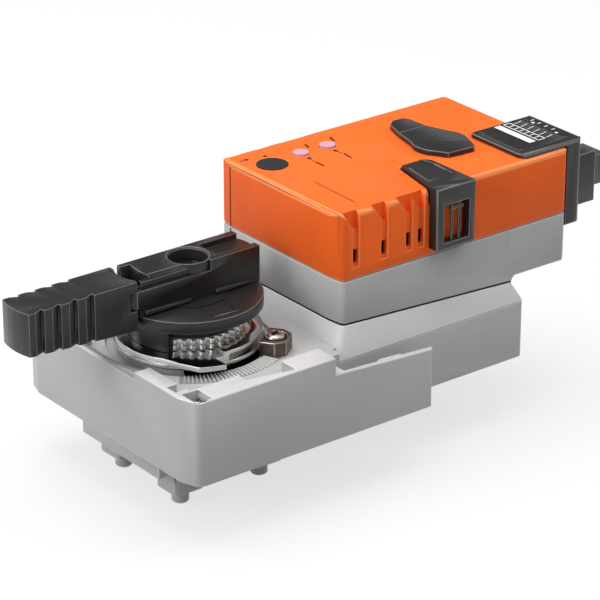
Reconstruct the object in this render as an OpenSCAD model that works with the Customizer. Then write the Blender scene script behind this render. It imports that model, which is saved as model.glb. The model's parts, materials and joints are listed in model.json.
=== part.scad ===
// Rotary actuator of a characterized control valve, set on the valve's spindle axis.
// Frame: origin on the spindle axis at the mounting plane, X towards the cable end, Z up. Units mm.

/* [Mounting] */
// Distance between neighbouring pegs on the square, mm
peg_spacing = 29.7; // [20:0.1:40]
// Peg radius, mm
peg_r = 2.7; // [1.5:0.1:4]
// Peg length below the mounting plane, mm
peg_len = 4.6; // [2:0.1:8]
// Width of the square pad over each peg, mm
pad_w = 10.4; // [7:0.1:14]
// Height of the pads, mm
pad_h = 8; // [4:0.5:12]
// Half length of the foot plate along X, mm
foot_x = 26.3; // [22:0.1:30]
// Half width of the foot plate along Y, mm
foot_y = 20; // [18:0.1:26]
// Square socket for the valve stem, across flats, mm
stem_af = 11; // [8:0.5:14]

/* [Gearbox housing] */
// Underside of the gearbox housing, mm
base_z = 16; // [12:0.5:24]
// Spindle end of the housing, mm
front_x0 = -30.8; // [-36:0.1:-26]
// End of the raised rim, mm
rim_x1 = 21.7; // [15:0.1:28]
// End of the wide part, mm
front_x1 = 59.6; // [45:0.1:70]
// Half width of the wide part, mm
front_y = 44; // [38:0.5:50]
// End of the narrow part, mm
rear_x1 = 104.9; // [90:0.1:120]
// Top of the low wall beside the lever, mm
wall_low_z = 40.7; // [39.5:0.1:42]
// Start of the narrow part, mm
rear_x0 = 30; // [26:0.5:34]
// Half width of the narrow part, mm
rear_y = 34; // [30:0.5:40]
// Top of the rim, mm
rim_z = 42.9; // [40:0.1:46]
// Top of the deck with the tooth arcs, mm
deck_z = 39; // [37:0.1:41]
// Top of the side flanges, mm
flange_z = 37.4; // [34:0.1:39]
// Top of the narrow part's upright walls, mm
wall_z = 35; // [32:0.1:38]
// Thickness of the skirt in front of the rear body, mm
skirt_t = 1.7; // [1.2:0.1:3]
// Depth of the channel behind the skirt, below the rear wall's top, mm
channel_depth = 8; // [4:0.5:11]
// Wall thickness of the housings, mm
wall = 2.6; // [2:0.1:4]
// Slope of the joint plane under the upper housing, degrees
joint_slope = 3.3; // [0:0.1:6]
// Height of the joint plane at the spindle side, mm
joint_z = 44.4; // [42:0.1:47]

/* [Upper housing and cover] */
// Spindle side of the upper housing, mm
box_x0 = 34.3; // [32:0.1:38]
// Cable side of the upper housing, mm
box_x1 = 125.4; // [115:0.1:135]
// Half width of the upper housing, mm
box_y = 30.1; // [26:0.1:34]
// End of the part that rests on the gearbox, mm
step_x = 103; // [95:0.5:110]
// Underside of the overhang at the cable side, mm
overhang_z = 42.5; // [41:0.1:45]
// Seam between upper housing and cover, mm
seam_z = 58.9; // [55:0.1:62]
// Top of the cover, mm
top_z = 80.3; // [76:0.1:86]
// Rounding of the cover's top edges, mm
top_r = 2.2; // [1:0.1:4]
// Width of the ventilation grooves, mm
vent_w = 2.2; // [1.5:0.1:3]
// Places of the ventilation grooves along X, mm
vent_x = [40.2, 51.1, 60.7, 65.4];
// Gasket thickness, mm
gasket_t = 0.6; // [0.4:0.1:1.5]

/* [Spindle stack] */
// Radius of the output shaft in the gearbox, mm
shaft_r = 10; // [8:0.1:12]
// Radius of the shaft's end in the lever, mm
stub_r = 5.2; // [4:0.1:6]
// Radius of the cam plate, mm
cam_r = 23; // [20:0.1:24]
// Reach of the two stop lugs, mm
lug_r = 28; // [26:0.1:29]
// Radius of the serrated ring, mm
ring_r = 16.8; // [14:0.1:19]
// Number of teeth round the ring
ring_teeth = 36; // [24:1:60]
// Radius of the indicator disc, mm
disc_r = 22.6; // [20:0.1:24]
// Underside of the indicator disc, mm
disc_z = 51.2; // [48:0.1:54]
// Thickness of the indicator disc, mm
disc_t = 3.7; // [2:0.1:6]
// Top of the lever, mm
lever_z = 66.8; // [60:0.1:72]
// Half width of the lever, mm
lever_y = 7; // [5:0.1:9]
// Short end of the lever, mm
lever_x1 = 21.5; // [18:0.1:26]
// Long end of the handle, mm
handle_x0 = -62.2; // [-75:0.1:-50]
// Start of the handle next to the lever, mm
handle_x1 = -23.3; // [-26:0.1:-22]
// Pitch of the grip ribs, mm
rib_pitch = 5.8; // [4:0.1:8]
// Radius of the hole over the centre screw, mm
hole_r = 6; // [5.5:0.1:6.5]

/* [End stops] */
// Inner radius of the tooth arcs, mm
arc_r0 = 25.7; // [24:0.1:27]
// Outer radius of the tooth arcs, mm
arc_r1 = 30.5; // [29:0.1:32]
// Pitch of the arc teeth, degrees
arc_pitch = 2.5; // [1.5:0.1:5]
// Teeth in each arc
arc_teeth = 42; // [20:1:50]
// Direction of the near stop block, degrees
near_stop = -54; // [-70:1:-40]
// Direction of the far stop block, degrees
far_stop = 53; // [40:1:70]
// Turn from mid travel to the near stop, degrees
travel_up = 37; // [20:1:45]
// Turn from mid travel to the far stop, degrees
travel_down = 53; // [40:1:60]
// Width of the two stop lugs, mm
lug_w = 6; // [4:0.5:9]
// Length of the stop blocks, mm
block_len = 7.9; // [7:0.1:10]
// Width of the stop blocks, mm
block_w = 11; // [9:0.5:13]

/* [Gear train] */
// Module of the output stage, mm
mod_a = 1.0; // [0.8:0.1:1.2]
// Module of the middle stage, mm
mod_b = 0.8; // [0.6:0.1:1]
// Module of the motor stage, mm
mod_c = 0.6; // [0.5:0.1:0.8]
// Teeth of the output gear
teeth_out = 48; // [40:2:56]
// Teeth of each large idler gear
teeth_big = 42; // [30:2:50]
// Teeth of each pinion
teeth_small = 14; // [12:2:18]
// Flank play on each side of a tooth, mm
flank_play = 0.05; // [0.03:0.01:0.15]

/* [Fittings] */
// Radius of the two push-buttons, mm
button_r = 2.5; // [2:0.1:4]
// Places of the push-buttons along X, mm
button_x = [56.2, 66.7];
// Place of the push-buttons along Y, mm
button_y = 17.5; // [10:0.1:22]
// Radius of the round plug over the switch, mm
plug_r = 5; // [3:0.1:7]
// Stroke of the release button, mm
release_stroke = 3; // [1:0.5:4]
// Start of the release button along X, mm
release_x0 = 68.3; // [60:0.1:75]
// Width of the release button, mm
release_w = 15.1; // [12:0.1:18]
// Front face of the release button, mm
release_y = -34; // [-36:0.1:-32]
// Radius of the round flap over the service socket, mm
flap_r = 9.2; // [7:0.1:11]
// Centre of the service socket, mm
socket_pos = [94.4, -4.2];
// Start of the terminal cover's plate along X, mm
terminal_x0 = 106.4; // [100:0.1:112]
// Near edge of the terminal cover, mm
terminal_y0 = -28.9; // [-30:0.1:-22]
// Far edge of the terminal cover, mm
terminal_y1 = -3.6; // [-8:0.1:0]
// Thickness of the terminal cover's end wall, mm
terminal_t = 7; // [4:0.1:9]
// Cable radius that the gland takes, mm
cable_r = 3.6; // [2.5:0.1:5]
// Centre of the gland along Y, mm
gland_y = -15.2; // [-20:0.1:0]
// Height of the gland's axis, mm
gland_z = 64.6; // [60:0.1:70]
// Cable end of the gland, mm
gland_x1 = 150; // [146:0.5:155]

/* [Fits] */
// Radial clearance of turning pairs, mm
run_gap = 0.05; // [0.02:0.01:0.1]
// Clearance round sliding pieces, mm
slide_gap = 0.3; // [0.15:0.05:0.5]

/* [Hidden] */
$fn = 96;
floor_z = base_z + 2.5;
deck_t = 2.5;
screw_y = front_y - 5;
skirt_end_z = flange_z - (front_x1 + 1 - rim_x1) * tan(joint_slope);
skirt_pad_x0 = front_x1 - 20.2;
skirt_pad_x1 = front_x1 - 11.4;
deck_y = front_y - 8.8;
lever_gap_y = 15;
pad_x1 = front_x0 + 5.6;
pad_y1 = 28.8;
cam_z = deck_z + 1;
lug_z = cam_z + 1.2;
lug_t = 1.6;
ring_z = lug_z + lug_t;
ring_top = ring_z + 3.7;
disc_top = disc_z + disc_t;
stub_top = 58;
rail_z0 = 57.8;
rail_z1 = 63.4;
rail_y = lever_y - 1.8;
short_x0 = 3.4;
key_x0 = handle_x1 - 16.7;
key_z = 61;
key_r = 2;
block_h = 4.8;
block_gap = 0.6;
block_r0 = cam_r + block_gap;
block_r1 = block_r0 + block_len;
stop_screw_r = block_r0 + 3.4;
axle_r = 2;
idler_x1 = mod_a * (teeth_out + teeth_small) / 2;
idler_x2 = idler_x1 + mod_b * (teeth_big + teeth_small) / 2;
motor_x = idler_x2 + mod_c * (teeth_big + teeth_small) / 2;
out_gear_z = 22;
out_gear_t = 7;
big_one_z = 30.5;
big_two_z = 24;
lip_t = 1;
board_z = seam_z - 1.5;
board_t = 1.6;
board_inset = wall + lip_t + 0.5;
post_r = 2.6;
post_x = [box_x0 + board_inset + 2.8, box_x1 - board_inset - 2.8];
post_y = box_y - board_inset - 2.8;
motor_z = floor_at(motor_x) + 1.9;
motor_h = board_z - 0.4 - motor_z;
motor_r = 14;
hub_r = 12;
release_top = top_z + 1;
plate_t = 2.4;
window_z = seam_z + 4.3;
window_h = 12.2;
release_mid = release_x0 + release_w / 2;
release_axis = [release_mid, -20];
spring_z = floor_at(release_mid) + release_stroke + 0.4;
spring_h = 8;
hinge_y = 8.6;
flap_t = 1.8;
plug_pos = [43.7, 15.7];
terminal_x1 = box_x1 + terminal_t;
terminal_top = top_z + 1.6;

function joint_at(x) = joint_z - (x - box_x0) * tan(joint_slope);
function floor_at(x) = (x < step_x ? joint_at(x) + gasket_t : overhang_z) + wall;
function involute_angle(k) = sqrt(k * k - 1) * 180 / PI - acos(1 / k);
function polar(r, a) = [r * cos(a), r * sin(a)];
function unit(v) = v / norm(v);
function corner(p, q, s, r) =
  let (u = unit(p - q), v = unit(s - q), h = acos(u * v) / 2)
  [q + u * r / tan(h), q + v * r / tan(h), q + unit(u + v) * r / sin(h)];

module gear_2d(m, z) {
  rp = m * z / 2;
  rb = rp * cos(20);
  ra = rp + 0.85 * m;
  rf = rp - 1.2 * m;
  r0 = max(rb, rf);
  half = 90 / z + involute_angle(1 / cos(20)) - flank_play / rp * 180 / PI;
  steps = [0, 0.35, 0.7, 1];
  flank = [for (s = steps) let (r = r0 + (ra - r0) * s) [r, half - involute_angle(r / rb)]];
  root = rf < rb - 0.01 ? [[rf, half]] : [];
  side = concat(root, flank);
  n = len(side);
  polygon([for (i = [0:z - 1]) each concat(
    [for (p = side) polar(p[0], i * 360 / z - p[1])],
    [for (k = [n - 1:-1:0]) polar(side[k][0], i * 360 / z + side[k][1])])]);
}

module tooth_ring_2d(r, depth, count) {
  polygon([for (i = [0:count - 1]) each [
    polar(r - depth, i * 360 / count), polar(r, (i + 0.22) * 360 / count),
    polar(r, (i + 0.5) * 360 / count), polar(r - depth, (i + 0.72) * 360 / count)]]);
}

module sector_2d(r, a0, a1) {
  steps = 8;
  polygon(concat([[0, 0]], [for (i = [0:steps]) polar(r, a0 + (a1 - a0) * i / steps)]));
}

module round_rect(x0, y0, x1, y1, r) {
  translate([x0 + r, y0]) square([x1 - x0 - 2 * r, y1 - y0]);
  translate([x0, y0 + r]) square([x1 - x0, y1 - y0 - 2 * r]);
  for (x = [x0 + r, x1 - r], y = [y0 + r, y1 - r]) translate([x, y]) circle(r);
}

module round_poly(points, radii) {
  n = len(points);
  c = [for (i = [0:n - 1]) corner(points[(i + n - 1) % n], points[i], points[(i + 1) % n], radii[i])];
  polygon([for (i = [0:n - 1]) each (radii[i] > 0 ? [c[i][0], c[i][1]] : [points[i]])]);
  for (i = [0:n - 1]) if (radii[i] > 0) translate(c[i][2]) circle(radii[i]);
}

module front_plan() {
  round_poly([[front_x0 + 2.3, -front_y], [front_x1, -front_y], [front_x1, front_y],
              [front_x0 + 2.3, front_y], [front_x0, front_y - 7], [front_x0, -front_y + 7]],
             [2.4, 1.6, 1.6, 2.4, 0, 0]);
}

module deck_plan() {
  difference() {
    union() {
      translate([pad_x1, -deck_y]) square([rear_x0 + 6 - pad_x1, 2 * deck_y]);
      translate([front_x0 + wall, -lever_gap_y]) square([6, 2 * lever_gap_y]);
      for (s = [0, 1]) mirror([0, s]) translate([front_x0 + 1.9, pad_y1]) square([6, 4.6]);
    }
    for (s = [0, 1]) mirror([0, s])
      translate([rear_x0, rear_y - wall]) square([8, deck_y + 1 - rear_y + wall]);
  }
}

module box_plan(inset) {
  x0 = box_x0 + inset;
  x1 = box_x1 - inset;
  y = box_y - inset;
  c = 4 - 0.6 * inset;
  round_poly([[x0 + 1, -y], [x1, -y], [x1, y - c], [x1 - c, y], [x0 + 0.9, y], [x0, y - 6], [x0, 6 - y]],
             [max(1.5 - inset, 0.4), max(2.4 - inset, 0.4), max(2 - inset, 0.4), max(2 - inset, 0.4),
              max(1.2 - inset, 0.4), 0, 0]);
}

module side_cut(points, y) {
  translate([0, y, 0]) rotate([90, 0, 0]) linear_extrude(2 * y) polygon(points);
}

module above_joint(raise) {
  side_cut([[box_x0 - 9, joint_at(box_x0 - 9) + raise], [rear_x1 + 9, joint_at(rear_x1 + 9) + raise],
            [rear_x1 + 9, 70], [box_x0 - 9, 70]], 50);
}

module rear_body(inset, low, high) {
  hull() {
    for (s = [-1, 1]) {
      translate([rear_x0 + inset + 2, s * (rear_y - inset - 2), low]) cylinder(r = 2, h = 0.4, $fn = 32);
      translate([rear_x1 - inset - 2, s * (rear_y - inset - 2), low]) cylinder(r = 2, h = 0.4, $fn = 32);
      translate([box_x0 + inset + 2.5, s * (box_y - inset - 2.5), high]) cylinder(r = 2.5, h = 2.2, $fn = 32);
      translate([step_x - inset - 2, s * (box_y - inset - 2), high - 4]) cylinder(r = 2, h = 2.2, $fn = 32);
    }
  }
}

module valve_foot() color([0.62, 0.62, 0.63]) {
  difference() {
    union() {
      side_cut([[-foot_x, pad_h], [-foot_x, pad_h + 4], [-foot_x - 3.4, base_z], [foot_x, base_z],
                [foot_x, pad_h]], foot_y);
      translate([-foot_x + 2, -foot_y - 2, pad_h + 3.5])
        cube([2 * foot_x - 4, 2 * foot_y + 4, base_z - pad_h - 3.5]);
      for (x = [-1, 1], y = [-1, 1]) translate([x * peg_spacing / 2, y * peg_spacing / 2, 0]) {
        linear_extrude(pad_h) round_rect(-pad_w / 2, -pad_w / 2, pad_w / 2, pad_w / 2, 1.2);
        translate([0, 0, -peg_len + 0.5]) cylinder(r = peg_r, h = peg_len - 0.5);
        translate([0, 0, -peg_len]) cylinder(r1 = peg_r - 0.5, r2 = peg_r, h = 0.5);
      }
    }
    translate([0, 0, -1]) cylinder(r = shaft_r + 2, h = base_z + 2);
  }
}

module channel_plan() {
  y = front_y - skirt_t;
  polygon([[rear_x0 - 4, rear_y + 1.4], [rear_x0, rear_y + 1.4], [rear_x0, rear_y], [front_x1 + 1, rear_y],
           [front_x1 + 1, y], [skirt_pad_x1, y], [skirt_pad_x1, y - 0.8], [skirt_pad_x0, y - 0.8],
           [skirt_pad_x0, y], [rear_x0 - 4, y]]);
}

module gearbox_housing() color([0.66, 0.66, 0.67]) {
  difference() {
    union() {
      translate([0, 0, base_z]) linear_extrude(flange_z - base_z) front_plan();
      intersection() {
        translate([0, 0, base_z]) linear_extrude(rim_z - base_z) front_plan();
        translate([front_x0 - 1, -50, 0]) cube([rim_x1 - front_x0 + 1, 100, 60]);
      }
      translate([0, 0, base_z]) linear_extrude(wall_z - base_z)
        round_rect(rear_x0, -rear_y, rear_x1, rear_y, 2);
    }
    translate([0, 0, deck_z - deck_t]) linear_extrude(20) deck_plan();
    translate([front_x0 - 1, -lever_gap_y, wall_low_z]) cube([6, 2 * lever_gap_y, 20]);
    translate([front_x0 + 4, -deck_y + 3, floor_z])
      cube([rear_x0 - front_x0 - 1, 2 * deck_y - 6, deck_z - deck_t - floor_z + 1]);
    translate([rear_x0, -rear_y + wall, floor_z])
      cube([rear_x1 - wall - rear_x0, 2 * (rear_y - wall), 30]);
    translate([rear_x0, -rear_y, wall_z]) cube([rear_x1 - rear_x0, 2 * rear_y, 30]);
    for (s = [0, 1]) mirror([0, s, 0]) {
      translate([0, 0, wall_z - channel_depth]) linear_extrude(20) channel_plan();
      translate([front_x0 + 2.4, deck_y + 0.3, deck_z + 1]) cube([5.7, front_y - deck_y - 1.6, 10]);
      translate([0, 0, deck_z + 0.4]) linear_extrude(10)
        polygon([[-8, deck_y - 1], [-8, deck_y + 4], [8, front_y - 1.7], [8, deck_y - 1]]);
      translate([0, front_y + 1, 0]) rotate([90, 0, 0]) linear_extrude(front_y - rear_y + 1)
        polygon([[rim_x1, flange_z], [front_x1 + 1, skirt_end_z], [front_x1 + 1, 60], [rim_x1, 60]]);
      translate([front_x0 + 5.8, screw_y, deck_z - 9]) cylinder(r = 1.25, h = 14);
    }
    translate([0, 0, base_z - 1]) cylinder(r = shaft_r + 2, h = 5);
    for (x = [idler_x1, idler_x2]) translate([x, 0, base_z + 1]) cylinder(r = axle_r, h = 4);
  }
}

module tooth_arc(middle) {
  for (i = [0:arc_teeth - 1]) rotate([0, 0, middle + (i - (arc_teeth - 1) / 2) * arc_pitch])
    translate([arc_r0, 0, deck_z]) rotate([90, 0, 90]) linear_extrude(arc_r1 - arc_r0)
      polygon([[-0.48, 0.02], [0.48, 0.02], [0, -0.8]]);
}

module gearbox_cover() color([0.74, 0.74, 0.75]) {
  difference() {
    union() {
      translate([0, 0, deck_z - deck_t]) linear_extrude(deck_t) deck_plan();
      difference() {
        rear_body(0, wall_z, joint_z - 2);
        above_joint(0);
      }
    }
    difference() {
      rear_body(wall, wall_z - 1, joint_z - 2);
      above_joint(-wall);
      translate([0, -50, deck_z - deck_t]) cube([rear_x0 + 3, 100, 10]);
    }
    difference() {
      translate([0, 0, deck_z - 1.4]) cylinder(r = arc_r0 - 0.2, h = 3);
      translate([0, 0, deck_z - 2]) cylinder(r = cam_r - 1.5, h = 4);
    }
    translate([0, 0, deck_z - 5]) cylinder(r = shaft_r + 2, h = 10);
    for (x = [idler_x1, idler_x2]) translate([x, 0, deck_z - 9]) cylinder(r = axle_r, h = 7.5);
    translate([motor_x, 0, wall_z]) cylinder(r = 4, h = 20);
    tooth_arc(-80);
    tooth_arc(80);
  }
  translate([idler_x2, 0, joint_at(idler_x2) - wall - 4.2]) difference() {
    cylinder(r = axle_r + 1.8, h = 4.4);
    translate([0, 0, -1]) cylinder(r = axle_r, h = 4);
  }
}

module lower_bush() color([0.72, 0.6, 0.36]) {
  difference() {
    union() {
      translate([0, 0, pad_h + 1]) cylinder(r = shaft_r + 2, h = floor_z - pad_h - 1);
      translate([0, 0, floor_z]) cylinder(r = shaft_r + 3.5, h = 1);
    }
    translate([0, 0, pad_h]) cylinder(r = shaft_r + run_gap, h = 20);
  }
}

module upper_bush() color([0.72, 0.6, 0.36]) {
  difference() {
    union() {
      translate([0, 0, deck_z - deck_t]) cylinder(r = shaft_r + 2, h = deck_t + 0.6);
      translate([0, 0, deck_z]) cylinder(r = shaft_r + 3.5, h = 0.6);
    }
    translate([0, 0, deck_z - 5]) cylinder(r = shaft_r + run_gap, h = 10);
  }
}

module axle(x, top) {
  translate([x, 0, base_z + 1]) cylinder(r = axle_r, h = top - base_z - 1);
}

module idler_axle_one() color([0.75, 0.75, 0.77]) {
  axle(idler_x1, deck_z - deck_t + 1);
}

module idler_axle_two() color([0.75, 0.75, 0.77]) {
  axle(idler_x2, joint_at(idler_x2) - wall - 1.2);
}

module pan_screw(r, head, len) {
  difference() {
    union() {
      cylinder(r = r, h = head);
      translate([0, 0, -len]) cylinder(r = r * 0.5, h = len);
    }
    for (a = [45, 135]) rotate([0, 0, a]) translate([-r * 0.6, -r * 0.11, head - 1])
      cube([r * 1.2, r * 0.22, 2]);
  }
}

module gearbox_screws() color([0.8, 0.8, 0.82]) {
  for (s = [-1, 1]) translate([front_x0 + 5.8, s * screw_y, deck_z + 1]) pan_screw(2, 1.4, 8);
}

module joint_gasket() color([0.08, 0.08, 0.08]) {
  difference() {
    intersection() {
      translate([0, 0, 38]) linear_extrude(14) box_plan(0.25);
      above_joint(0);
      translate([box_x0 - 1, -40, 30]) cube([step_x - box_x0 + 0.8, 80, 30]);
    }
    above_joint(gasket_t);
    translate([box_x0 + 3, -box_y + 3, 30]) cube([step_x - box_x0 - 6, 2 * box_y - 6, 30]);
  }
}

module upper_housing() color([0.6, 0.6, 0.61]) {
  low = joint_at(step_x) + gasket_t;
  difference() {
    intersection() {
      union() {
        translate([0, 0, 38]) linear_extrude(seam_z - 38.4) box_plan(0);
        translate([0, 0, 38]) linear_extrude(seam_z - 38) box_plan(0.5);
      }
      side_cut([[box_x0 - 2, joint_at(box_x0 - 2) + gasket_t], [step_x, low], [step_x, overhang_z - 0.9],
                [step_x + 1, overhang_z], [box_x1 - 1.5, overhang_z], [box_x1 + 0.1, overhang_z + 1.6],
                [box_x1 + 0.1, 70], [box_x0 - 2, 70]], 40);
    }
    intersection() {
      translate([0, 0, 40]) linear_extrude(40) box_plan(wall);
      side_cut([[box_x0, floor_at(box_x0)], [step_x - wall, floor_at(step_x - wall)],
                [step_x, floor_at(step_x)], [box_x1, floor_at(box_x1)], [box_x1, 90], [box_x0, 90]], 40);
    }
    translate([motor_x, 0, 38]) cylinder(r = 5.5, h = 20);
    translate([box_x1 - 10, gland_y, gland_z]) rotate([0, 90, 0]) cylinder(r = 6.2, h = 20);
  }
  for (x = post_x, s = [-1, 1]) translate([x, s * post_y, floor_at(x) - 1]) difference() {
    cylinder(r = post_r, h = board_z - floor_at(x) + 1);
    translate([0, 0, 4]) cylinder(r = 1, h = 20);
  }
  translate([release_axis[0], release_axis[1], floor_at(release_mid) - 1]) difference() {
    cylinder(r = 5, h = spring_z - floor_at(release_mid) + 1);
    translate([0, 0, 0.5]) cylinder(r = 1.9, h = 9);
  }
}

module motor_can() color([0.72, 0.72, 0.74]) {
  translate([motor_x, 0, motor_z]) difference() {
    union() {
      cylinder(r = motor_r, h = motor_h);
      translate([0, 0, -1.6]) cylinder(r = 5, h = 1.6);
    }
    translate([0, 0, -2]) cylinder(r = 1.5 + run_gap, h = motor_h + 4);
    translate([0, 0, 1]) cylinder(r = 6, h = motor_h - 2);
  }
}

module motor_bush() color([0.72, 0.6, 0.36]) {
  z = joint_at(motor_x) - wall;
  translate([motor_x, 0, z]) difference() {
    cylinder(r = 4, h = 2);
    translate([0, 0, -1]) cylinder(r = 1.5 + run_gap, h = 6);
  }
}

module circuit_board() color([0.1, 0.34, 0.2]) {
  difference() {
    translate([0, 0, board_z]) linear_extrude(board_t) box_plan(board_inset);
    translate([release_mid - 5.5, -box_y, board_z - 1]) cube([11, box_y + release_axis[1] + 6, 4]);
    for (x = post_x, s = [-1, 1]) translate([x, s * post_y, board_z - 1]) cylinder(r = 1.2, h = 4);
  }
}

module board_parts() color([0.14, 0.14, 0.15]) {
  z = board_z + board_t;
  for (i = [0:2]) translate([44 + 10 * i, -14, z]) cylinder(r = 3.4, h = 9);
  translate([44, -2, z]) cube([9, 9, 1.6]);
  translate([60, -4, z]) cube([12, 7, 1.8]);
  for (x = button_x) translate([x - 2.5, button_y - 2.5, z]) cube([5, 5, 3]);
  translate([plug_pos[0] - 2.9, plug_pos[1] - 2.9, z]) cube([5.8, 5.8, 2.5]);
}

module terminal_block() color([0.1, 0.36, 0.24]) {
  difference() {
    translate([terminal_x0 + 0.6, terminal_y0 + 4.9, board_z + board_t]) cube([8, 24, 9]);
    for (i = [0:4]) translate([terminal_x0 - 106.4, terminal_y0 + 7.3 + 4.8 * i, board_z + board_t]) {
      translate([111, 0, 5]) cylinder(r = 1.5, h = 6);
      translate([112, -1.2, 1.2]) cube([6, 2.4, 3]);
    }
  }
}

module service_socket() color([0.12, 0.12, 0.13]) {
  translate([socket_pos[0], socket_pos[1], board_z + board_t]) {
    difference() {
      cylinder(r = 6.2, h = 18);
      translate([0, 0, 8]) cylinder(r = 5.2, h = 20);
    }
    for (a = [0:60:300]) rotate([0, 0, a]) translate([3, 0, 7.5]) cylinder(r = 0.5, h = 5.5, $fn = 24);
  }
}

module vent(x, s) {
  mirror([0, s, 0]) {
    translate([x - vent_w / 2, box_y - 0.7, seam_z + 3.6]) cube([vent_w, 3.7, 30]);
    translate([x - vent_w / 2 + 0.1, box_y - 4, seam_z + 4.7]) cube([vent_w - 0.2, 8, 4.6]);
    translate([0, box_y + 3, 0]) rotate([90, 0, 0]) linear_extrude(4.8)
      polygon([[x - vent_w / 2 - 3, top_z + 1], [x - vent_w / 2 - 3, top_z - 0.6],
               [x - vent_w / 2, top_z - 5], [x + vent_w / 2, top_z - 6], [x + vent_w / 2, top_z + 1]]);
  }
}

module release_plan(gap) {
  x0 = release_x0 - gap;
  x1 = release_x0 + release_w + gap;
  polygon([[x0, release_y], [x1, release_y], [x1 - 0.3, -13.2 + gap], [x1 - 2.5, -10.8 + gap],
           [x0 + 5, -10.8 + gap], [x0 + 4.2, -11.8 + gap], [x0, -31]]);
}

module top_cover() color([0.86, 0.36, 0.12]) {
  difference() {
    intersection() {
      translate([0, 0, seam_z]) linear_extrude(30) box_plan(0);
      translate([0, 60, 0]) rotate([90, 0, 0]) linear_extrude(120)
        round_rect(box_x0 - 0.01, 0, box_x1 + 0.01, top_z, top_r);
      rotate([90, 0, 90]) linear_extrude(200)
        round_rect(-box_y - 0.01, 0, box_y + 0.01, top_z, top_r);
    }
    translate([0, 0, seam_z - 1]) linear_extrude(top_z - seam_z + 1 - wall) box_plan(2.2);
    for (x = vent_x, s = [0, 1]) vent(x, s);
    for (x = button_x) translate([x, button_y, top_z - 9]) cylinder(r = button_r + slide_gap / 2, h = 20);
    translate([plug_pos[0], plug_pos[1], top_z - 9]) cylinder(r = plug_r, h = 20);
    translate([socket_pos[0], socket_pos[1], top_z - 9]) cylinder(r = 8.1, h = 20);
    translate([0, 0, release_top - plate_t - release_stroke - 0.4]) linear_extrude(20)
      release_plan(slide_gap);
    translate([terminal_x0 + 2.1, terminal_y0 + 3.9, top_z - 9]) cube([12, 20, 20]);
    translate([box_x1 - 10, gland_y, gland_z]) rotate([0, 90, 0]) cylinder(r = 5.6, h = 20);
  }
  for (x = [box_x0 + 9, box_x1 - 34], s = [0, 1]) mirror([0, s, 0]) cover_lip(x, 25);
  translate([release_x0 + 6.6, -5, top_z - 0.5]) cylinder(r = 0.8, h = 0.7);
}

module cover_lip(x, len) {
  y = box_y - wall - 0.2;
  translate([x, 0, 0]) rotate([90, 0, 90]) linear_extrude(len)
    polygon([[y - lip_t, seam_z - 2.2], [y - 0.4, seam_z - 2.2], [y, seam_z - 1.6], [y, seam_z + 0.1],
             [box_y - 1, seam_z + 0.1], [box_y - 1, seam_z + 3], [y - lip_t, seam_z + 2]]);
}

module switch_plug() color([0.09, 0.09, 0.1]) {
  translate([plug_pos[0], plug_pos[1], top_z - wall - 1]) {
    cylinder(r = plug_r, h = wall + 1.1);
    cylinder(r = plug_r + 1, h = 1);
  }
}

module flap_anchor() color([0.14, 0.14, 0.15]) {
  translate([0, 0, top_z]) linear_extrude(flap_t)
    polygon([[88.3, hinge_y + 0.2], [99.4, hinge_y + 0.2], [98.9, 16.3], [97.4, 18.3], [93.4, 18.2],
             [90.9, 16.2]]);
}

module service_flap() color([0.14, 0.14, 0.15]) {
  translate([0, 0, top_z]) linear_extrude(flap_t) {
    translate(socket_pos) circle(flap_r);
    polygon([[86.4, 0], [88.3, hinge_y], [99.4, hinge_y], [101.6, 2.3], [102.4, 0]]);
    polygon([[87.2, -9.8], [89.6, -13.9], [99.4, -14.6], [100.3, -13.8], [101.9, -9.6]]);
  }
  translate([socket_pos[0], socket_pos[1], top_z - 2]) difference() {
    cylinder(r = 7.5, h = 2.1);
    translate([0, 0, -1]) cylinder(r = 6.6, h = 3);
  }
}

module terminal_cover() color([0.1, 0.1, 0.11]) {
  low = seam_z - 6;
  difference() {
    intersection() {
      linear_extrude(terminal_top) round_rect(terminal_x0, terminal_y0, terminal_x1, terminal_y1, 2.5);
      translate([terminal_x0, 0, 0]) rotate([90, 0, 90]) linear_extrude(40)
        round_rect(terminal_y0, low, terminal_y1, terminal_top, 1.5);
      rotate([90, 0, 0]) linear_extrude(60)
        round_rect(terminal_x0 - 4, low - 4, terminal_x1, terminal_top, 1.5);
    }
    translate([terminal_x0 - 1, terminal_y0 - 1, 0]) cube([box_x1 + 0.4 - terminal_x0 + 1, 40, top_z]);
    translate([100, gland_y, gland_z]) rotate([0, 90, 0]) cylinder(r = 5.6, h = 60);
    for (p = [[2.6, 3.4], [21, 3.4], [2.6, 21.8], [21, 21.8]])
      translate([terminal_x0 + p[0], terminal_y0 + p[1], terminal_top - 0.3]) cylinder(r = 0.6, h = 1);
  }
}

module cable_gland() color([0.11, 0.11, 0.12]) {
  x0 = terminal_x1;
  difference() {
    union() {
      translate([x0, gland_y - 8.5, gland_z - 8.6]) cube([10.5, 17, 17.2]);
      translate([x0 + 10.5, gland_y - 5.2, gland_z - 5.2]) cube([gland_x1 - x0 - 10.5, 10.4, 10.4]);
      translate([box_x1 - 2, gland_y, gland_z]) rotate([0, 90, 0]) cylinder(r = 5.6, h = 9);
      translate([box_x1 - 4.4, gland_y - 5.8, gland_z - 5.6]) cube([1.7, 11.6, 12]);
      translate([box_x1 - 3, gland_y, gland_z]) rotate([0, 90, 0]) cylinder(r = 4.6, h = 3);
    }
    translate([box_x1 - 10, gland_y, gland_z]) rotate([0, 90, 0]) cylinder(r = cable_r, h = 50);
  }
}

module release_spring() color([0.8, 0.8, 0.82]) {
  translate([release_axis[0], release_axis[1], spring_z])
    linear_extrude(height = spring_h, twist = -1800, slices = 120, $fn = 4)
      translate([3.2, 0]) square([0.8, 1.3], center = true);
}

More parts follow.
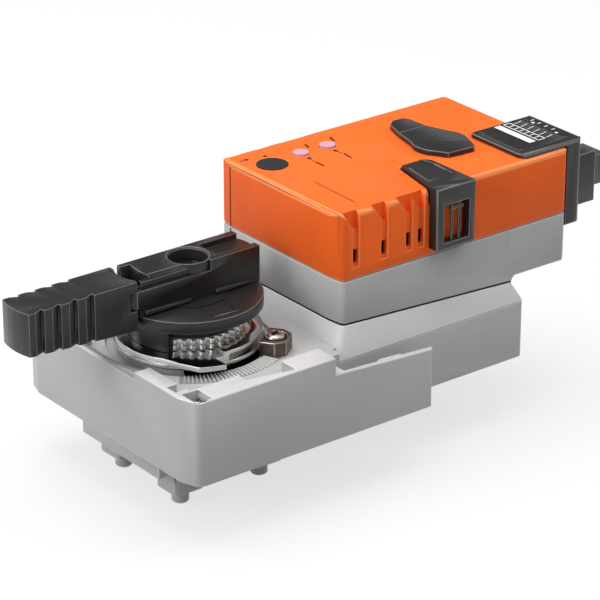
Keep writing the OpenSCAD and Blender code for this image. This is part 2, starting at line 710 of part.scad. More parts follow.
module output_gear() color([0.82, 0.8, 0.72]) {
  translate([0, 0, out_gear_z]) difference() {
    linear_extrude(out_gear_t) gear_2d(mod_a, teeth_out);
    translate([0, 0, -1]) cylinder(r = shaft_r, h = 20);
    for (a = [0:60:300]) rotate([0, 0, a]) translate([16.2, 0, -1]) cylinder(r = 2.6, h = 20);
  }
}

module output_shaft() color([0.72, 0.72, 0.74]) {
  difference() {
    union() {
      translate([0, 0, 3]) cylinder(r = shaft_r, h = disc_z - 3);
      translate([0, 0, floor_z + 1.1]) cylinder(r = shaft_r + 2.5, h = out_gear_z - floor_z - 1.1);
      translate([0, 0, disc_z - 1]) cylinder(r = stub_r, h = stub_top - disc_z + 1);
    }
    translate([-stem_af / 2, -stem_af / 2, 2]) cube([stem_af, stem_af, 18]);
    translate([0, 0, 10]) cylinder(r = 3.2, h = 60);
  }
}

module serrated_ring() color([0.78, 0.78, 0.8]) {
  difference() {
    rotate([0, 0, 5.5]) {
      translate([0, 0, ring_z]) cylinder(r = ring_r - 1.2, h = ring_top - ring_z);
      translate([0, 0, ring_z + 0.2]) linear_extrude(1.6) tooth_ring_2d(ring_r, 1.3, ring_teeth);
      translate([0, 0, ring_z + 2.1]) linear_extrude(1.5) tooth_ring_2d(ring_r, 1.3, ring_teeth);
    }
    translate([0, 0, 30]) cylinder(r = shaft_r, h = 30);
  }
}

module stop_lug(a, side, ramp) {
  face = block_w / 2 + 0.15;
  rotate([0, 0, a]) mirror([0, side > 0 ? 0 : 1, 0]) intersection() {
    circle(lug_r);
    polygon([[14, face], [lug_r, face], [lug_r, face + lug_w], polar(lug_r - 3, 18 + ramp * 0.5),
             polar(cam_r - 1, 14 + ramp), [0, 8]]);
  }
}

module cam_plate() color([0.76, 0.76, 0.78]) {
  difference() {
    union() {
      translate([0, 0, cam_z]) cylinder(r = cam_r, h = lug_z - cam_z);
      translate([0, 0, lug_z]) linear_extrude(lug_t) {
        circle(cam_r - 2.8);
        intersection() {
          circle(cam_r - 0.6);
          sector_2d(40, 146, 266);
        }
        stop_lug(near_stop - travel_up, -1, 45);
        stop_lug(far_stop + travel_down, 1, 12);
      }
      translate([0, 0, ring_z]) linear_extrude(1.2) intersection() {
        circle(cam_r - 0.8);
        sector_2d(40, -98, 150);
      }
    }
    translate([0, 0, ring_z]) cylinder(r = ring_r + 1.8, h = 10);
    translate([0, 0, 30]) cylinder(r = shaft_r, h = 30);
  }
}

module indicator_disc() color([0.11, 0.11, 0.12]) {
  difference() {
    union() {
      translate([0, 0, disc_z]) cylinder(r = disc_r, h = disc_t);
      translate([0, 0, ring_top]) cylinder(r = ring_r - 1.6, h = disc_z - ring_top);
      intersection() {
        translate([0, 0, ring_z + 0.2]) cylinder(r = ring_r + 1.6, h = disc_z - ring_z - 0.2);
        linear_extrude(60) sector_2d(40, 110, 215);
      }
      translate([0, 0, disc_top]) linear_extrude(0.3) difference() {
        polygon([[-4.4, -8], [-4.8, -19.9], [3.6, -20.5], [4.8, -13.3], [4.6, -8]]);
        polygon([[-3.9, -7], [-4.3, -19.4], [3.2, -20], [4.3, -13.4], [4.1, -7]]);
        circle(hub_r + 0.1);
      }
    }
    translate([0, 0, 30]) cylinder(r = ring_r + 0.1, h = ring_top - 30);
    translate([0, 0, 30]) cylinder(r = shaft_r, h = disc_z - 30);
    translate([0, 0, 30]) cylinder(r = stub_r, h = 50);
  }
}

module lever_rail() {
  linear_extrude(rail_z1 - rail_z0) polygon([[-25.4, -rail_y + 0.5], [-25.4, -rail_y], [-23.3, -lever_y],
    [short_x0, -lever_y], [short_x0, -rail_y + 0.5]]);
}

module lever_body() color([0.12, 0.12, 0.13]) {
  low = disc_top + 0.3;
  x0 = -21;
  difference() {
    union() {
      translate([x0, 0, 0]) rotate([90, 0, 90]) linear_extrude(short_x0 + 0.5 - x0)
        polygon([[-5.5, low], [-5.5, lever_z - 1.4], [-4.1, lever_z], [lever_y, lever_z], [lever_y, low]]);
      translate([short_x0, -lever_y, low]) cube([lever_x1 - short_x0, 2 * lever_y, lever_z - low]);
      translate([x0 - 1.6, -lever_y, low]) cube([short_x0 - x0 + 1.6, 2.4, rail_z1 - low]);
      translate([x0 - 1.6, lever_y - 2.4, low]) cube([3, 2.4, rail_z1 - low]);
      for (s = [0, 1]) mirror([0, s, 0]) {
        translate([0, 0, rail_z0]) lever_rail();
        for (x = [[-20.5, 16], [5, 15.6]]) translate([x[0], lever_y - 0.1, disc_top + 1])
          rotate([0, 90, 0]) cylinder(r = 0.9, h = x[1]);
      }
      translate([0, 0, rail_z1 - 1]) cylinder(r = hole_r + 0.9, h = lever_z - rail_z1 + 1);
      intersection() {
        translate([lever_x1 - 11.2, 0, low]) cylinder(r = 12, h = lever_z - 1.6 - low);
        translate([lever_x1 - 2, -lever_y + 2.5, low]) cube([6, 2 * lever_y - 5, 20]);
      }
      translate([0, 0, disc_top]) cylinder(r = hub_r, h = 0.3);
    }
    translate([0, 0, stub_top]) cylinder(r = hole_r, h = 20);
    translate([0, 0, lever_z - 0.5]) cylinder(r1 = hole_r, r2 = hole_r + 0.5, h = 0.5);
    translate([0, 0, 40]) cylinder(r = stub_r, h = 30);
    difference() {
      translate([x0 - 2, -4.9, rail_z0]) cube([8, 10, 20]);
      translate([-4, 0, rail_z0 - 1]) cylinder(r = 14.4, h = 30);
    }
    translate([7.3, -lever_y + 2.5, lever_z - 1.6]) cube([30, 2 * lever_y - 5, 5]);
    translate([key_x0, 0, key_z]) rotate([0, 90, 0]) cylinder(r = key_r + 0.5, h = 31);
  }
}

module centre_screw() color([0.78, 0.78, 0.8]) {
  difference() {
    union() {
      translate([0, 0, stub_top]) cylinder(r = 5, h = 5);
      translate([0, 0, 16]) cylinder(r = 3, h = stub_top - 16);
    }
    translate([0, 0, stub_top + 2]) cylinder(r = 2.9, h = 5, $fn = 6);
  }
}

module grip_plan() {
  difference() {
    intersection() {
      translate([handle_x0, -lever_y]) square([handle_x1 - handle_x0, 2 * lever_y]);
      translate([handle_x0 + 22, 0]) circle(22);
    }
    for (i = [0:3], s = [0, 1]) mirror([0, s]) translate([handle_x0 + 5.9 + rib_pitch * i, lever_y])
      polygon([[-2.4, 0], [0, -1.2], [0.5, -1.2], [0.5, 1], [-2.4, 1]]);
  }
}

module handle_grip() color([0.12, 0.12, 0.13]) {
  difference() {
    intersection() {
      translate([0, 0, 40]) linear_extrude(40) grip_plan();
      side_cut([[handle_x0, 53.3], [handle_x0 + 30, 51.6], [handle_x1, 51.2],
                [handle_x1, lever_z], [handle_x0, lever_z]], 20);
    }
    for (s = [0, 1]) mirror([0, s, 0]) translate([handle_x1 - 2.5, rail_y - 0.9, rail_z0 - slide_gap])
      cube([4, 4, rail_z1 - rail_z0 + 2 * slide_gap]);
    translate([handle_x1 - 3.1, -4.8, lever_z - 0.3]) cube([0.4, 8.8, 1]);
    translate([handle_x1 + 8.2, 0, 40]) cylinder(r = 9.6, h = 40);
    translate([key_x0, 0, key_z]) rotate([0, 90, 0]) cylinder(r = key_r, h = 40, $fn = 6);
  }
}

module hex_key() color([0.78, 0.78, 0.8]) {
  translate([key_x0, 0, key_z]) rotate([0, 90, 0]) cylinder(r = key_r, h = 30, $fn = 6);
}

module stop_block(a) {
  rotate([0, 0, a]) translate([0, 0, deck_z]) difference() {
    linear_extrude(block_h) polygon([[block_r0, -block_w / 2], [block_r1 - 3, -block_w / 2],
      [block_r1, -block_w / 2 + 2.4], [block_r1, block_w / 2 - 2.4], [block_r1 - 3, block_w / 2],
      [block_r0, block_w / 2]]);
    translate([stop_screw_r, 0, -1]) cylinder(r = 1.7, h = 20);
    translate([stop_screw_r, 0, block_h - 1.2]) cylinder(r = 3.6, h = 20);
  }
}

module stop_screw(a) {
  rotate([0, 0, a]) translate([stop_screw_r, 0, deck_z + block_h - 1.2]) pan_screw(3.4, 2.2, 3.4);
}

module near_block() color([0.4, 0.37, 0.34]) {
  stop_block(near_stop);
}

module near_screw() color([0.85, 0.85, 0.87]) {
  stop_screw(near_stop);
}

module far_block() color([0.4, 0.37, 0.34]) {
  stop_block(far_stop);
}

module far_screw() color([0.85, 0.85, 0.87]) {
  stop_screw(far_stop);
}

module idler_one() color([0.85, 0.83, 0.76]) {
  translate([idler_x1, 0, 0]) difference() {
    union() {
      translate([0, 0, out_gear_z - 0.5]) linear_extrude(big_one_z - out_gear_z + 0.5)
        rotate([0, 0, 180 / teeth_small]) gear_2d(mod_a, teeth_small);
      translate([0, 0, big_one_z]) linear_extrude(4) gear_2d(mod_b, teeth_big);
    }
    translate([0, 0, 10]) cylinder(r = axle_r + run_gap, h = 40);
  }
}

module idler_two() color([0.85, 0.83, 0.76]) {
  translate([idler_x2, 0, 0]) difference() {
    union() {
      translate([0, 0, big_two_z + 3.5]) linear_extrude(7.5)
        rotate([0, 0, 180 / teeth_small]) gear_2d(mod_b, teeth_small);
      translate([0, 0, big_two_z]) linear_extrude(3.5) gear_2d(mod_c, teeth_big);
    }
    translate([0, 0, 10]) cylinder(r = axle_r + run_gap, h = 40);
  }
}

module motor_rotor() color([0.75, 0.75, 0.77]) {
  translate([motor_x, 0, 0]) {
    translate([0, 0, big_two_z - 0.5]) linear_extrude(4.5)
      rotate([0, 0, 180 / teeth_small]) gear_2d(mod_c, teeth_small);
    translate([0, 0, big_two_z + 4]) cylinder(r = 1.5, h = motor_z + motor_h - 4 - big_two_z);
    translate([0, 0, motor_z + 2]) cylinder(r = 4.5, h = motor_h - 5);
  }
}

module release_button() color([0.1, 0.1, 0.11]) {
  difference() {
    union() {
      translate([release_x0, release_y, seam_z + 2.2])
        cube([release_w, -box_y - slide_gap - release_y, release_top - seam_z - 2.2]);
      translate([0, 0, release_top - plate_t]) linear_extrude(plate_t) release_plan(0);
    }
    translate([release_x0 + 3.1, release_y - 1, window_z]) cube([9.9, 8, window_h]);
    translate([0, 0, release_top - 0.4]) linear_extrude(3)
      polygon([[release_x0 + 5.2, -8], [release_x0 + 3, -26.1], [release_x0 + 12.8, -25.6],
               [release_x0 + 13.6, -17.4], [release_x0 + 11.6, -8]]);
  }
  for (x = [6.4, 9.3]) translate([release_x0 + x, release_y + 1, window_z]) cube([1, 0.8, window_h]);
  translate([release_x0 + 6.1, release_y + 0.7, window_z + 9.8]) cube([5.2, 0.9, 1.3]);
}

module release_stem() color([0.85, 0.84, 0.8]) {
  translate([release_axis[0], release_axis[1], 0]) {
    translate([0, 0, spring_z + spring_h + 0.1]) cylinder(r = 4.2, h = 2);
    translate([0, 0, spring_z]) cylinder(r = 1.8, h = top_z - 1.4 - spring_z);
  }
}

module push_button(x) {
  translate([x, button_y, 0]) {
    translate([0, 0, top_z - wall - 0.2]) cylinder(r = button_r, h = wall + 0.7);
    translate([0, 0, top_z - wall - 1.4]) cylinder(r = button_r + 0.9, h = 1.2);
    translate([0, 0, board_z + board_t + 4]) cylinder(r = 1.4, h = top_z - wall - 5.2 - board_z - board_t);
  }
}

module push_button_one() color([0.8, 0.6, 0.68]) {
  push_button(button_x[0]);
}

module push_button_two() color([0.8, 0.6, 0.68]) {
  push_button(button_x[1]);
}

valve_foot();
gearbox_housing();
gearbox_cover();
lower_bush();
upper_bush();
idler_axle_one();
idler_axle_two();
gearbox_screws();
joint_gasket();
upper_housing();
motor_can();
motor_bush();
circuit_board();
board_parts();
terminal_block();
service_socket();
top_cover();
switch_plug();
flap_anchor();
terminal_cover();
cable_gland();
release_spring();
output_gear();
output_shaft();
serrated_ring();
cam_plate();
indicator_disc();
lever_body();
centre_screw();
handle_grip();
hex_key();
near_block();
near_screw();
far_block();
far_screw();
idler_one();
idler_two();
motor_rotor();
release_button();
release_stem();
push_button_one();
push_button_two();
service_flap();
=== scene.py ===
"""Looks of the rotary actuator: finishes, rounded edges, small pieces, light and camera."""
import json
import math
import bmesh
import bpy
from mathutils import Matrix, Vector
from mathutils.bvhtree import BVHTree
from mathutils.kdtree import KDTree

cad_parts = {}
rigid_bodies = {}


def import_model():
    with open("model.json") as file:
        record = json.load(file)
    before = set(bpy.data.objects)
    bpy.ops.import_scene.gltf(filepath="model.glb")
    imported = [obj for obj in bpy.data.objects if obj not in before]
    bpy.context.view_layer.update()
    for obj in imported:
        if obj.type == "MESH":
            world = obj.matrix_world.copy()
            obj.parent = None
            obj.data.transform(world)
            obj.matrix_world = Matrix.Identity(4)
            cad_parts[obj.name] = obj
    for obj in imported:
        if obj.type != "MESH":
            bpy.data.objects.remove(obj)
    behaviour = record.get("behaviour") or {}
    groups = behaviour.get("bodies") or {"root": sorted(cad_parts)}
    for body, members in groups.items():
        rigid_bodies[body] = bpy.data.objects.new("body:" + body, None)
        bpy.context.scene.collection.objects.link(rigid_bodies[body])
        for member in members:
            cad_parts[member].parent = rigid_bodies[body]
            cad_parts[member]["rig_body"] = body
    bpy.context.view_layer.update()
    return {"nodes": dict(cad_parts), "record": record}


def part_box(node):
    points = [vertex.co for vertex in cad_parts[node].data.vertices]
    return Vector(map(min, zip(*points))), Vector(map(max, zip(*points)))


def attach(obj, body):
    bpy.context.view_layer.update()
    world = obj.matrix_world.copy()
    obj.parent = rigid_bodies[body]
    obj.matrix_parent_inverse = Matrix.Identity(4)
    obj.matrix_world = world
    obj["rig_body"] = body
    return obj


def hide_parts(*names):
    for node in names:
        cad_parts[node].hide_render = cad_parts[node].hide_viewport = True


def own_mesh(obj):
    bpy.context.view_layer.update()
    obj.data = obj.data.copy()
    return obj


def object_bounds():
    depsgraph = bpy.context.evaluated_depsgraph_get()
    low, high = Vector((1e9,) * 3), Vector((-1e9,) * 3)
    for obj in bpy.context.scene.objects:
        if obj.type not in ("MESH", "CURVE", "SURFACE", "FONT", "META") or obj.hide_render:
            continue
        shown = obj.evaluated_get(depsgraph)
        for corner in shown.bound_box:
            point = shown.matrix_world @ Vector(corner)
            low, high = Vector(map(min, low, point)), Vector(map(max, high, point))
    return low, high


MM = 0.001

# camera of the photograph, solved from the housing's edges
CAMERA_PLACE = Vector((-486.92, -681.63, 430.93)) * MM
CAMERA_BACK = Vector((-0.5587, -0.7196, 0.4123))
CAMERA_LENS, CAMERA_SENSOR = 183.87, 36

# colours as they show in even light, linear RGB
GREY_CASTING = (0.46, 0.46, 0.462)
GREY_TRAY = (0.455, 0.455, 0.458)
ORANGE = (0.95, 0.145, 0.021)
BLACK_MOULDING = (0.021, 0.0195, 0.0195)
BLACK_SEAL = (0.008, 0.008, 0.009)
BRIGHT_STEEL = (0.62, 0.61, 0.60)
GEAR_STEEL = (0.46, 0.45, 0.43)
STOP_STEEL = (0.16, 0.13, 0.115)
BRONZE = (0.42, 0.27, 0.11)
BOARD_GREEN = (0.012, 0.09, 0.04)
BUTTON_PINK = (0.62, 0.36, 0.45)
STEM_WHITE = (0.66, 0.64, 0.58)
TOOTH_STEEL = (0.86, 0.85, 0.83)
# painted light: a lighter steel for the cam plate's side
PLATE_SIDE_LIT_STEEL = (0.88, 0.87, 0.85)
# painted highlight: white for the lit deck ridges
RIDGE_LIT_WHITE = (0.7, 0.7, 0.69)
# painted light: lighter greys for the casting's level tops and its slopes, as the light from above shows them
RIM_TOP_LIT_GREY = (0.56, 0.56, 0.562)
SLOPE_LIT_GREY = (0.62, 0.625, 0.635)
# painted shade: dark grey between the deck ridges
TOOTH_GAP_SHADE = (0.24, 0.24, 0.24)
WHITE_INK = (0.82, 0.82, 0.8)
BLACK_INK = (0.02, 0.014, 0.012)
# painted shade: a near-black without sheen for recesses, gaps and the foot of screw heads
SHADE_BLACK = (0.006, 0.006, 0.006)
SEAM_BROWN = (0.2, 0.02, 0.006)
SEAM_SHADE = (0.05, 0.05, 0.05)
# painted highlight: lighter grey for the release recess's rim
FRAME_LIT_GREY = (0.2, 0.19, 0.18)

# painted highlights: lighter colours on the rounded edges for the light they catch
CASTING_EDGE_HIGHLIGHT = (0.68, 0.68, 0.68)
TRAY_EDGE_HIGHLIGHT = (0.56, 0.56, 0.56)
ORANGE_EDGE_HIGHLIGHT = (0.92, 0.25, 0.07)
MOULDING_EDGE_HIGHLIGHT = (0.13, 0.12, 0.115)
SEAL_EDGE_HIGHLIGHT = (0.06, 0.055, 0.055)
STEEL_EDGE_HIGHLIGHT = (0.8, 0.79, 0.77)
STOP_EDGE_HIGHLIGHT = (0.5, 0.42, 0.38)

# heights of fine relief, in m
MOULD_RELIEF = 0.00012
PEEL_RELIEF = 0.00016
TOOL_MARKS = 0.00004

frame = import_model()


def new_material(name, colour, roughness, metallic=0.0, specular=0.5):
    """A material whose fixed numbers sit on the shader itself."""
    material = bpy.data.materials.new(name)
    material.use_nodes = True
    shader = material.node_tree.nodes["Principled BSDF"]
    shader.inputs["Base Color"].default_value = (*colour, 1)
    shader.inputs["Roughness"].default_value = roughness
    shader.inputs["Metallic"].default_value = metallic
    shader.inputs["Specular IOR Level"].default_value = specular
    return material, material.node_tree.nodes, material.node_tree.links, shader


def grain(nodes, links, scale, detail=3.0):
    """Noise on object coordinates, for grain that stays on the piece."""
    place = nodes.new("ShaderNodeTexCoord")
    noise = nodes.new("ShaderNodeTexNoise")
    noise.inputs["Scale"].default_value = scale
    noise.inputs["Detail"].default_value = detail
    links.new(place.outputs["Object"], noise.inputs["Vector"])
    return noise


def tint(nodes, links, shader, noise, dark, light):
    """The base colour wanders a little between two values."""
    ramp = nodes.new("ShaderNodeValToRGB")
    ramp.color_ramp.elements[0].position = 0.3
    ramp.color_ramp.elements[0].color = (*dark, 1)
    ramp.color_ramp.elements[1].position = 0.7
    ramp.color_ramp.elements[1].color = (*light, 1)
    links.new(noise.outputs["Fac"], ramp.inputs["Fac"])
    links.new(ramp.outputs["Color"], shader.inputs["Base Color"])


def bump(nodes, links, shader, noise, strength, distance):
    """Fine relief from a noise."""
    relief = nodes.new("ShaderNodeBump")
    relief.inputs["Strength"].default_value = strength
    relief.inputs["Distance"].default_value = distance
    links.new(noise.outputs["Fac"], relief.inputs["Height"])
    links.new(relief.outputs["Normal"], shader.inputs["Normal"])
    return relief


def gloss(nodes, links, shader, noise, low, high):
    """Roughness between two values, as handling and moulding leave it."""
    span = nodes.new("ShaderNodeMapRange")
    span.inputs["To Min"].default_value = low
    span.inputs["To Max"].default_value = high
    links.new(noise.outputs["Fac"], span.inputs["Value"])
    links.new(span.outputs["Result"], shader.inputs["Roughness"])


def shade(colour, factor):
    """A colour made darker or lighter, up to full white."""
    return tuple(min(1.0, c * factor) for c in colour)


def moulded_plastic(name, colour, low, high, pitch, relief, specular=0.2):
    """Injection moulded plastic with an eroded mould's fine grain."""
    material, nodes, links, shader = new_material(name, colour, low, 0.0, specular)
    clouds = grain(nodes, links, 45, 2)
    tint(nodes, links, shader, clouds, shade(colour, 0.94), shade(colour, 1.05))
    fine = grain(nodes, links, pitch, 2)
    gloss(nodes, links, shader, fine, low, high)
    bump(nodes, links, shader, fine, relief, MOULD_RELIEF)
    return material


def cast_housing(name, colour):
    """Powder coated casting: an even coat with a soft orange-peel relief."""
    material, nodes, links, shader = new_material(name, colour, 0.42, 0.0, 0.3)
    clouds = grain(nodes, links, 30, 3)
    tint(nodes, links, shader, clouds, shade(colour, 0.96), shade(colour, 1.03))
    peel = grain(nodes, links, 900, 3)
    gloss(nodes, links, shader, peel, 0.36, 0.5)
    bump(nodes, links, shader, peel, 0.16, PEEL_RELIEF)
    return material


def machined_steel(name, colour, low, high, pitch=700, marks=0.04):
    """Metal with fine tool marks, smooth enough to mirror what is near."""
    material, nodes, links, shader = new_material(name, colour, low, 1.0)
    clouds = grain(nodes, links, 60, 3)
    tint(nodes, links, shader, clouds, shade(colour, 0.9), shade(colour, 1.06))
    scratches = grain(nodes, links, pitch, 3)
    gloss(nodes, links, shader, scratches, low, high)
    bump(nodes, links, shader, scratches, marks, TOOL_MARKS)
    return material


MATERIALS = {
    "cast_grey": cast_housing("cast_grey", GREY_CASTING),
    "tray_grey": moulded_plastic("tray_grey", GREY_TRAY, 0.38, 0.5, 1200, 0.18),
    "orange_cover": moulded_plastic("orange_cover", ORANGE, 0.4, 0.52, 1300, 0.16, 0.12),
    "black_plastic": moulded_plastic("black_plastic", BLACK_MOULDING, 0.28, 0.4, 1100, 0.3, 0.32),
    "black_rubber": moulded_plastic("black_rubber", BLACK_SEAL, 0.6, 0.75, 900, 0.1),
    "bright_steel": machined_steel("bright_steel", BRIGHT_STEEL, 0.08, 0.16),
    "gear_steel": machined_steel("gear_steel", GEAR_STEEL, 0.28, 0.45),
    "stop_steel": machined_steel("stop_steel", STOP_STEEL, 0.3, 0.5, 500, 0.1),
    "bronze": machined_steel("bronze", BRONZE, 0.4, 0.6, 900),
    "board_green": moulded_plastic("board_green", BOARD_GREEN, 0.3, 0.4, 600, 0.05),
    "button_pink": moulded_plastic("button_pink", BUTTON_PINK, 0.12, 0.2, 500, 0.02),
    "stem_white": moulded_plastic("stem_white", STEM_WHITE, 0.35, 0.45, 900, 0.1),
}

# painted edge highlights: lighter and glossier than the faces between them
EDGE_HIGHLIGHTS = {
    "cast_grey": moulded_plastic("cast_grey_edge_highlight", CASTING_EDGE_HIGHLIGHT, 0.28, 0.4, 900, 0.1, 0.5),
    "tray_grey": moulded_plastic("tray_grey_edge_highlight", TRAY_EDGE_HIGHLIGHT, 0.28, 0.4, 900, 0.1, 0.4),
    "orange_cover": moulded_plastic("orange_edge_highlight", ORANGE_EDGE_HIGHLIGHT, 0.25, 0.35, 900, 0.1, 0.4),
    "black_plastic": moulded_plastic("black_edge_highlight", MOULDING_EDGE_HIGHLIGHT, 0.25, 0.4, 900, 0.2, 0.5),
    "black_rubber": moulded_plastic("seal_edge_highlight", SEAL_EDGE_HIGHLIGHT, 0.4, 0.5, 900, 0.1, 0.4),
    "bright_steel": machined_steel("bright_edge_highlight", STEEL_EDGE_HIGHLIGHT, 0.2, 0.3),
    "stop_steel": machined_steel("stop_edge_highlight", STOP_EDGE_HIGHLIGHT, 0.25, 0.35, 500, 0.1),
}
TOOTH_FINISH = machined_steel("tooth_steel", TOOTH_STEEL, 0.34, 0.46)
SCREW_FINISH = machined_steel("screw_steel", BRIGHT_STEEL, 0.26, 0.36)
# the cam plate's side: rougher steel, and lighter in colour as painted light
PLATE_SIDE_PAINTED_LIGHT = machined_steel("plate_side_painted_light", PLATE_SIDE_LIT_STEEL, 0.5, 0.6)
# painted highlight on the deck ridges, and painted shade between them
RIDGE_HIGHLIGHT = cast_housing("ridge_painted_highlight", RIDGE_LIT_WHITE)
TOOTH_GAP_PAINTED_SHADE = cast_housing("tooth_gap_painted_shade", TOOTH_GAP_SHADE)
# painted light on the casting's tops and slopes
RIM_TOP_PAINTED_LIGHT = cast_housing("rim_top_painted_light", RIM_TOP_LIT_GREY)
SLOPE_PAINTED_LIGHT = cast_housing("slope_painted_light", SLOPE_LIT_GREY)
WHITE_PRINT = moulded_plastic("white_print", WHITE_INK, 0.4, 0.5, 1500, 0.05)
BLACK_PRINT = moulded_plastic("black_print", BLACK_INK, 0.4, 0.5, 1500, 0.05)
# painted shade
PAINTED_SHADE = moulded_plastic("painted_shade_black", SHADE_BLACK, 0.7, 0.8, 900, 0.1, 0.05)
SEAM_RED = moulded_plastic("seam_red", SEAM_BROWN, 0.5, 0.6, 900, 0.05)
SEAM_GREY = moulded_plastic("seam_grey", SEAM_SHADE, 0.5, 0.6, 900, 0.05)
# painted highlight on the release recess's rim
FRAME_HIGHLIGHT = moulded_plastic("frame_painted_highlight", FRAME_LIT_GREY, 0.3, 0.4, 900, 0.1)


def dress(node, slot):
    """A CAD node keeps its shape and gets its finish."""
    node.data.materials.clear()
    node.data.materials.append(MATERIALS[slot])


# rounding of edges
WELD = 0.00001  # corners nearer than this, in m, are one
FLAT_TURN = 0.6  # triangles that turn by less than this, in degrees, are one face
SAME_WAY = 0.9  # cosine past which two edges run the same way
FREE_SHARE = 0.45  # share of the shortest edge beside it that a rounding may take
SHALLOWEST = 0.3  # least share of an edge's rounding that is worth making
ROUNDING_STEPS = 2
CALM_ROUNDS = 8
WALL_TILT, TOP_TILT = 0.2, 0.92  # upward part of a normal: under it a wall, from it a top
EVERYWHERE = -1000.0  # a height that is under the whole part, in mm


def free_room(edge, corner):
    """Length of the shortest edge that runs away from this one at a corner."""
    along = (edge.verts[1].co - edge.verts[0].co).normalized()
    room = 1.0
    for other in corner.link_edges:
        run = other.verts[1].co - other.verts[0].co
        if other is not edge and run.length > 0 and abs(run.normalized().dot(along)) < SAME_WAY:
            room = min(room, run.length)
    return room


def ready_mesh(node, width, angle, inner, low, gentle, split):
    """The node as one closed surface, each outward edge weighed for its rounding."""
    mesh = node.data.copy()
    shape = bmesh.new()
    shape.from_mesh(mesh)
    bmesh.ops.remove_doubles(shape, verts=shape.verts, dist=WELD)
    bmesh.ops.dissolve_limit(shape, angle_limit=math.radians(FLAT_TURN), verts=shape.verts, edges=shape.edges)
    if split:
        bmesh.ops.triangulate(shape, faces=[face for face in shape.faces if len(face.verts) > 4])
    shape.normal_update()
    layer = shape.edges.layers.float.new("bevel_weight_edge")
    for edge in shape.edges:
        turn = edge.calc_face_angle(0.0) if len(edge.link_faces) == 2 else 0.0
        if turn < math.radians(gentle):
            continue
        room = min(free_room(edge, corner) for corner in edge.verts)
        weight = min(1.0, FREE_SHARE * room / (width * MM))
        reach = min(corner.co.xy.length for corner in edge.verts)
        foot = min(corner.co.z for corner in edge.verts)
        if (edge.is_convex and turn > math.radians(angle) and weight > SHALLOWEST
                and reach > inner * MM and foot > low * MM):
            edge[layer] = weight
        else:
            edge.smooth = False
    shape.to_mesh(mesh)
    shape.free()
    for face in mesh.polygons:
        face.use_smooth = True
    return mesh


def calm_edges(piece, limit):
    """Edges whose rounding would leave the surface by more than the limit go back to sharp ones."""
    mesh = piece.data
    surface = BVHTree.FromPolygons([v.co for v in mesh.vertices], [tuple(f.vertices) for f in mesh.polygons])
    weights = mesh.attributes["bevel_weight_edge"].data
    for _ in range(CALM_ROUNDS):
        seen = piece.evaluated_get(bpy.context.evaluated_depsgraph_get())
        shown = seen.to_mesh()
        strays = [v.co.copy() for v in shown.vertices if surface.find_nearest(v.co)[3] > limit * MM]
        seen.to_mesh_clear()
        if not strays:
            return
        live = [edge for edge in mesh.edges if weights[edge.index].value > 0]
        corners = KDTree(2 * len(live))
        for edge in live:
            for corner in edge.vertices:
                corners.insert(mesh.vertices[corner].co, corner)
        corners.balance()
        wild = {corners.find(place)[1] for place in strays}
        for edge in live:
            if wild.intersection(edge.vertices):
                weights[edge.index].value = 0.0
                edge.use_edge_sharp = True
        mesh.update()
        piece.update_tag()


def stand_in(name, piece):
    """The piece shows in place of the CAD node and moves with its body."""
    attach(piece, frame["nodes"][name]["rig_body"])
    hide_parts(name)


def soften_edges(name, width, angle=28, inner=0.0, finish=None, side=None, slant=None, top=None,
                 limit=1.0, low=EVERYWHERE, gentle=16, split=False):
    """A copy of the node with its outward edges rounded and given a painted highlight stands in for it.

    Only edges outside the inner radius and over the low height are rounded, where the surface
    turns by more than the angle. Turns under the gentle one stay smooth. The limit is a share
    of the width. Wide faces are split where one face would fold over itself.
    """
    slot = SLOTS[name]
    mesh = ready_mesh(frame["nodes"][name], width, angle, inner, low, gentle, split)
    piece = bpy.data.objects.new(name + "_dressed", mesh)
    bpy.context.scene.collection.objects.link(piece)
    rounding = piece.modifiers.new("rounding", "BEVEL")
    rounding.width = width * MM
    rounding.segments = ROUNDING_STEPS
    rounding.limit_method = "WEIGHT"
    rounding.harden_normals = True
    rounding.use_clamp_overlap = False
    # the rounded edges take the painted highlight
    rounding.material = 1
    mesh.materials.clear()
    mesh.materials.append(finish or MATERIALS[slot])
    mesh.materials.append(EDGE_HIGHLIGHTS[slot])
    calm_edges(piece, limit * width)
    # painted light: walls, slopes and tops can take a lighter copy of the finish, chosen by how far each face
    # points up
    for other in (side, slant, top):
        mesh.materials.append(other or mesh.materials[0])
    for face in mesh.polygons:
        if abs(face.normal.z) < WALL_TILT:
            face.material_index = 2
        elif WALL_TILT <= face.normal.z < TOP_TILT:
            face.material_index = 3
        elif face.normal.z >= TOP_TILT:
            face.material_index = 4
    stand_in(name, piece)


SLOTS = {entry["node"]: entry["material_slot"] for entry in frame["record"]["subparts"]}
for node_name, node_object in frame["nodes"].items():
    dress(node_object, SLOTS[node_name])

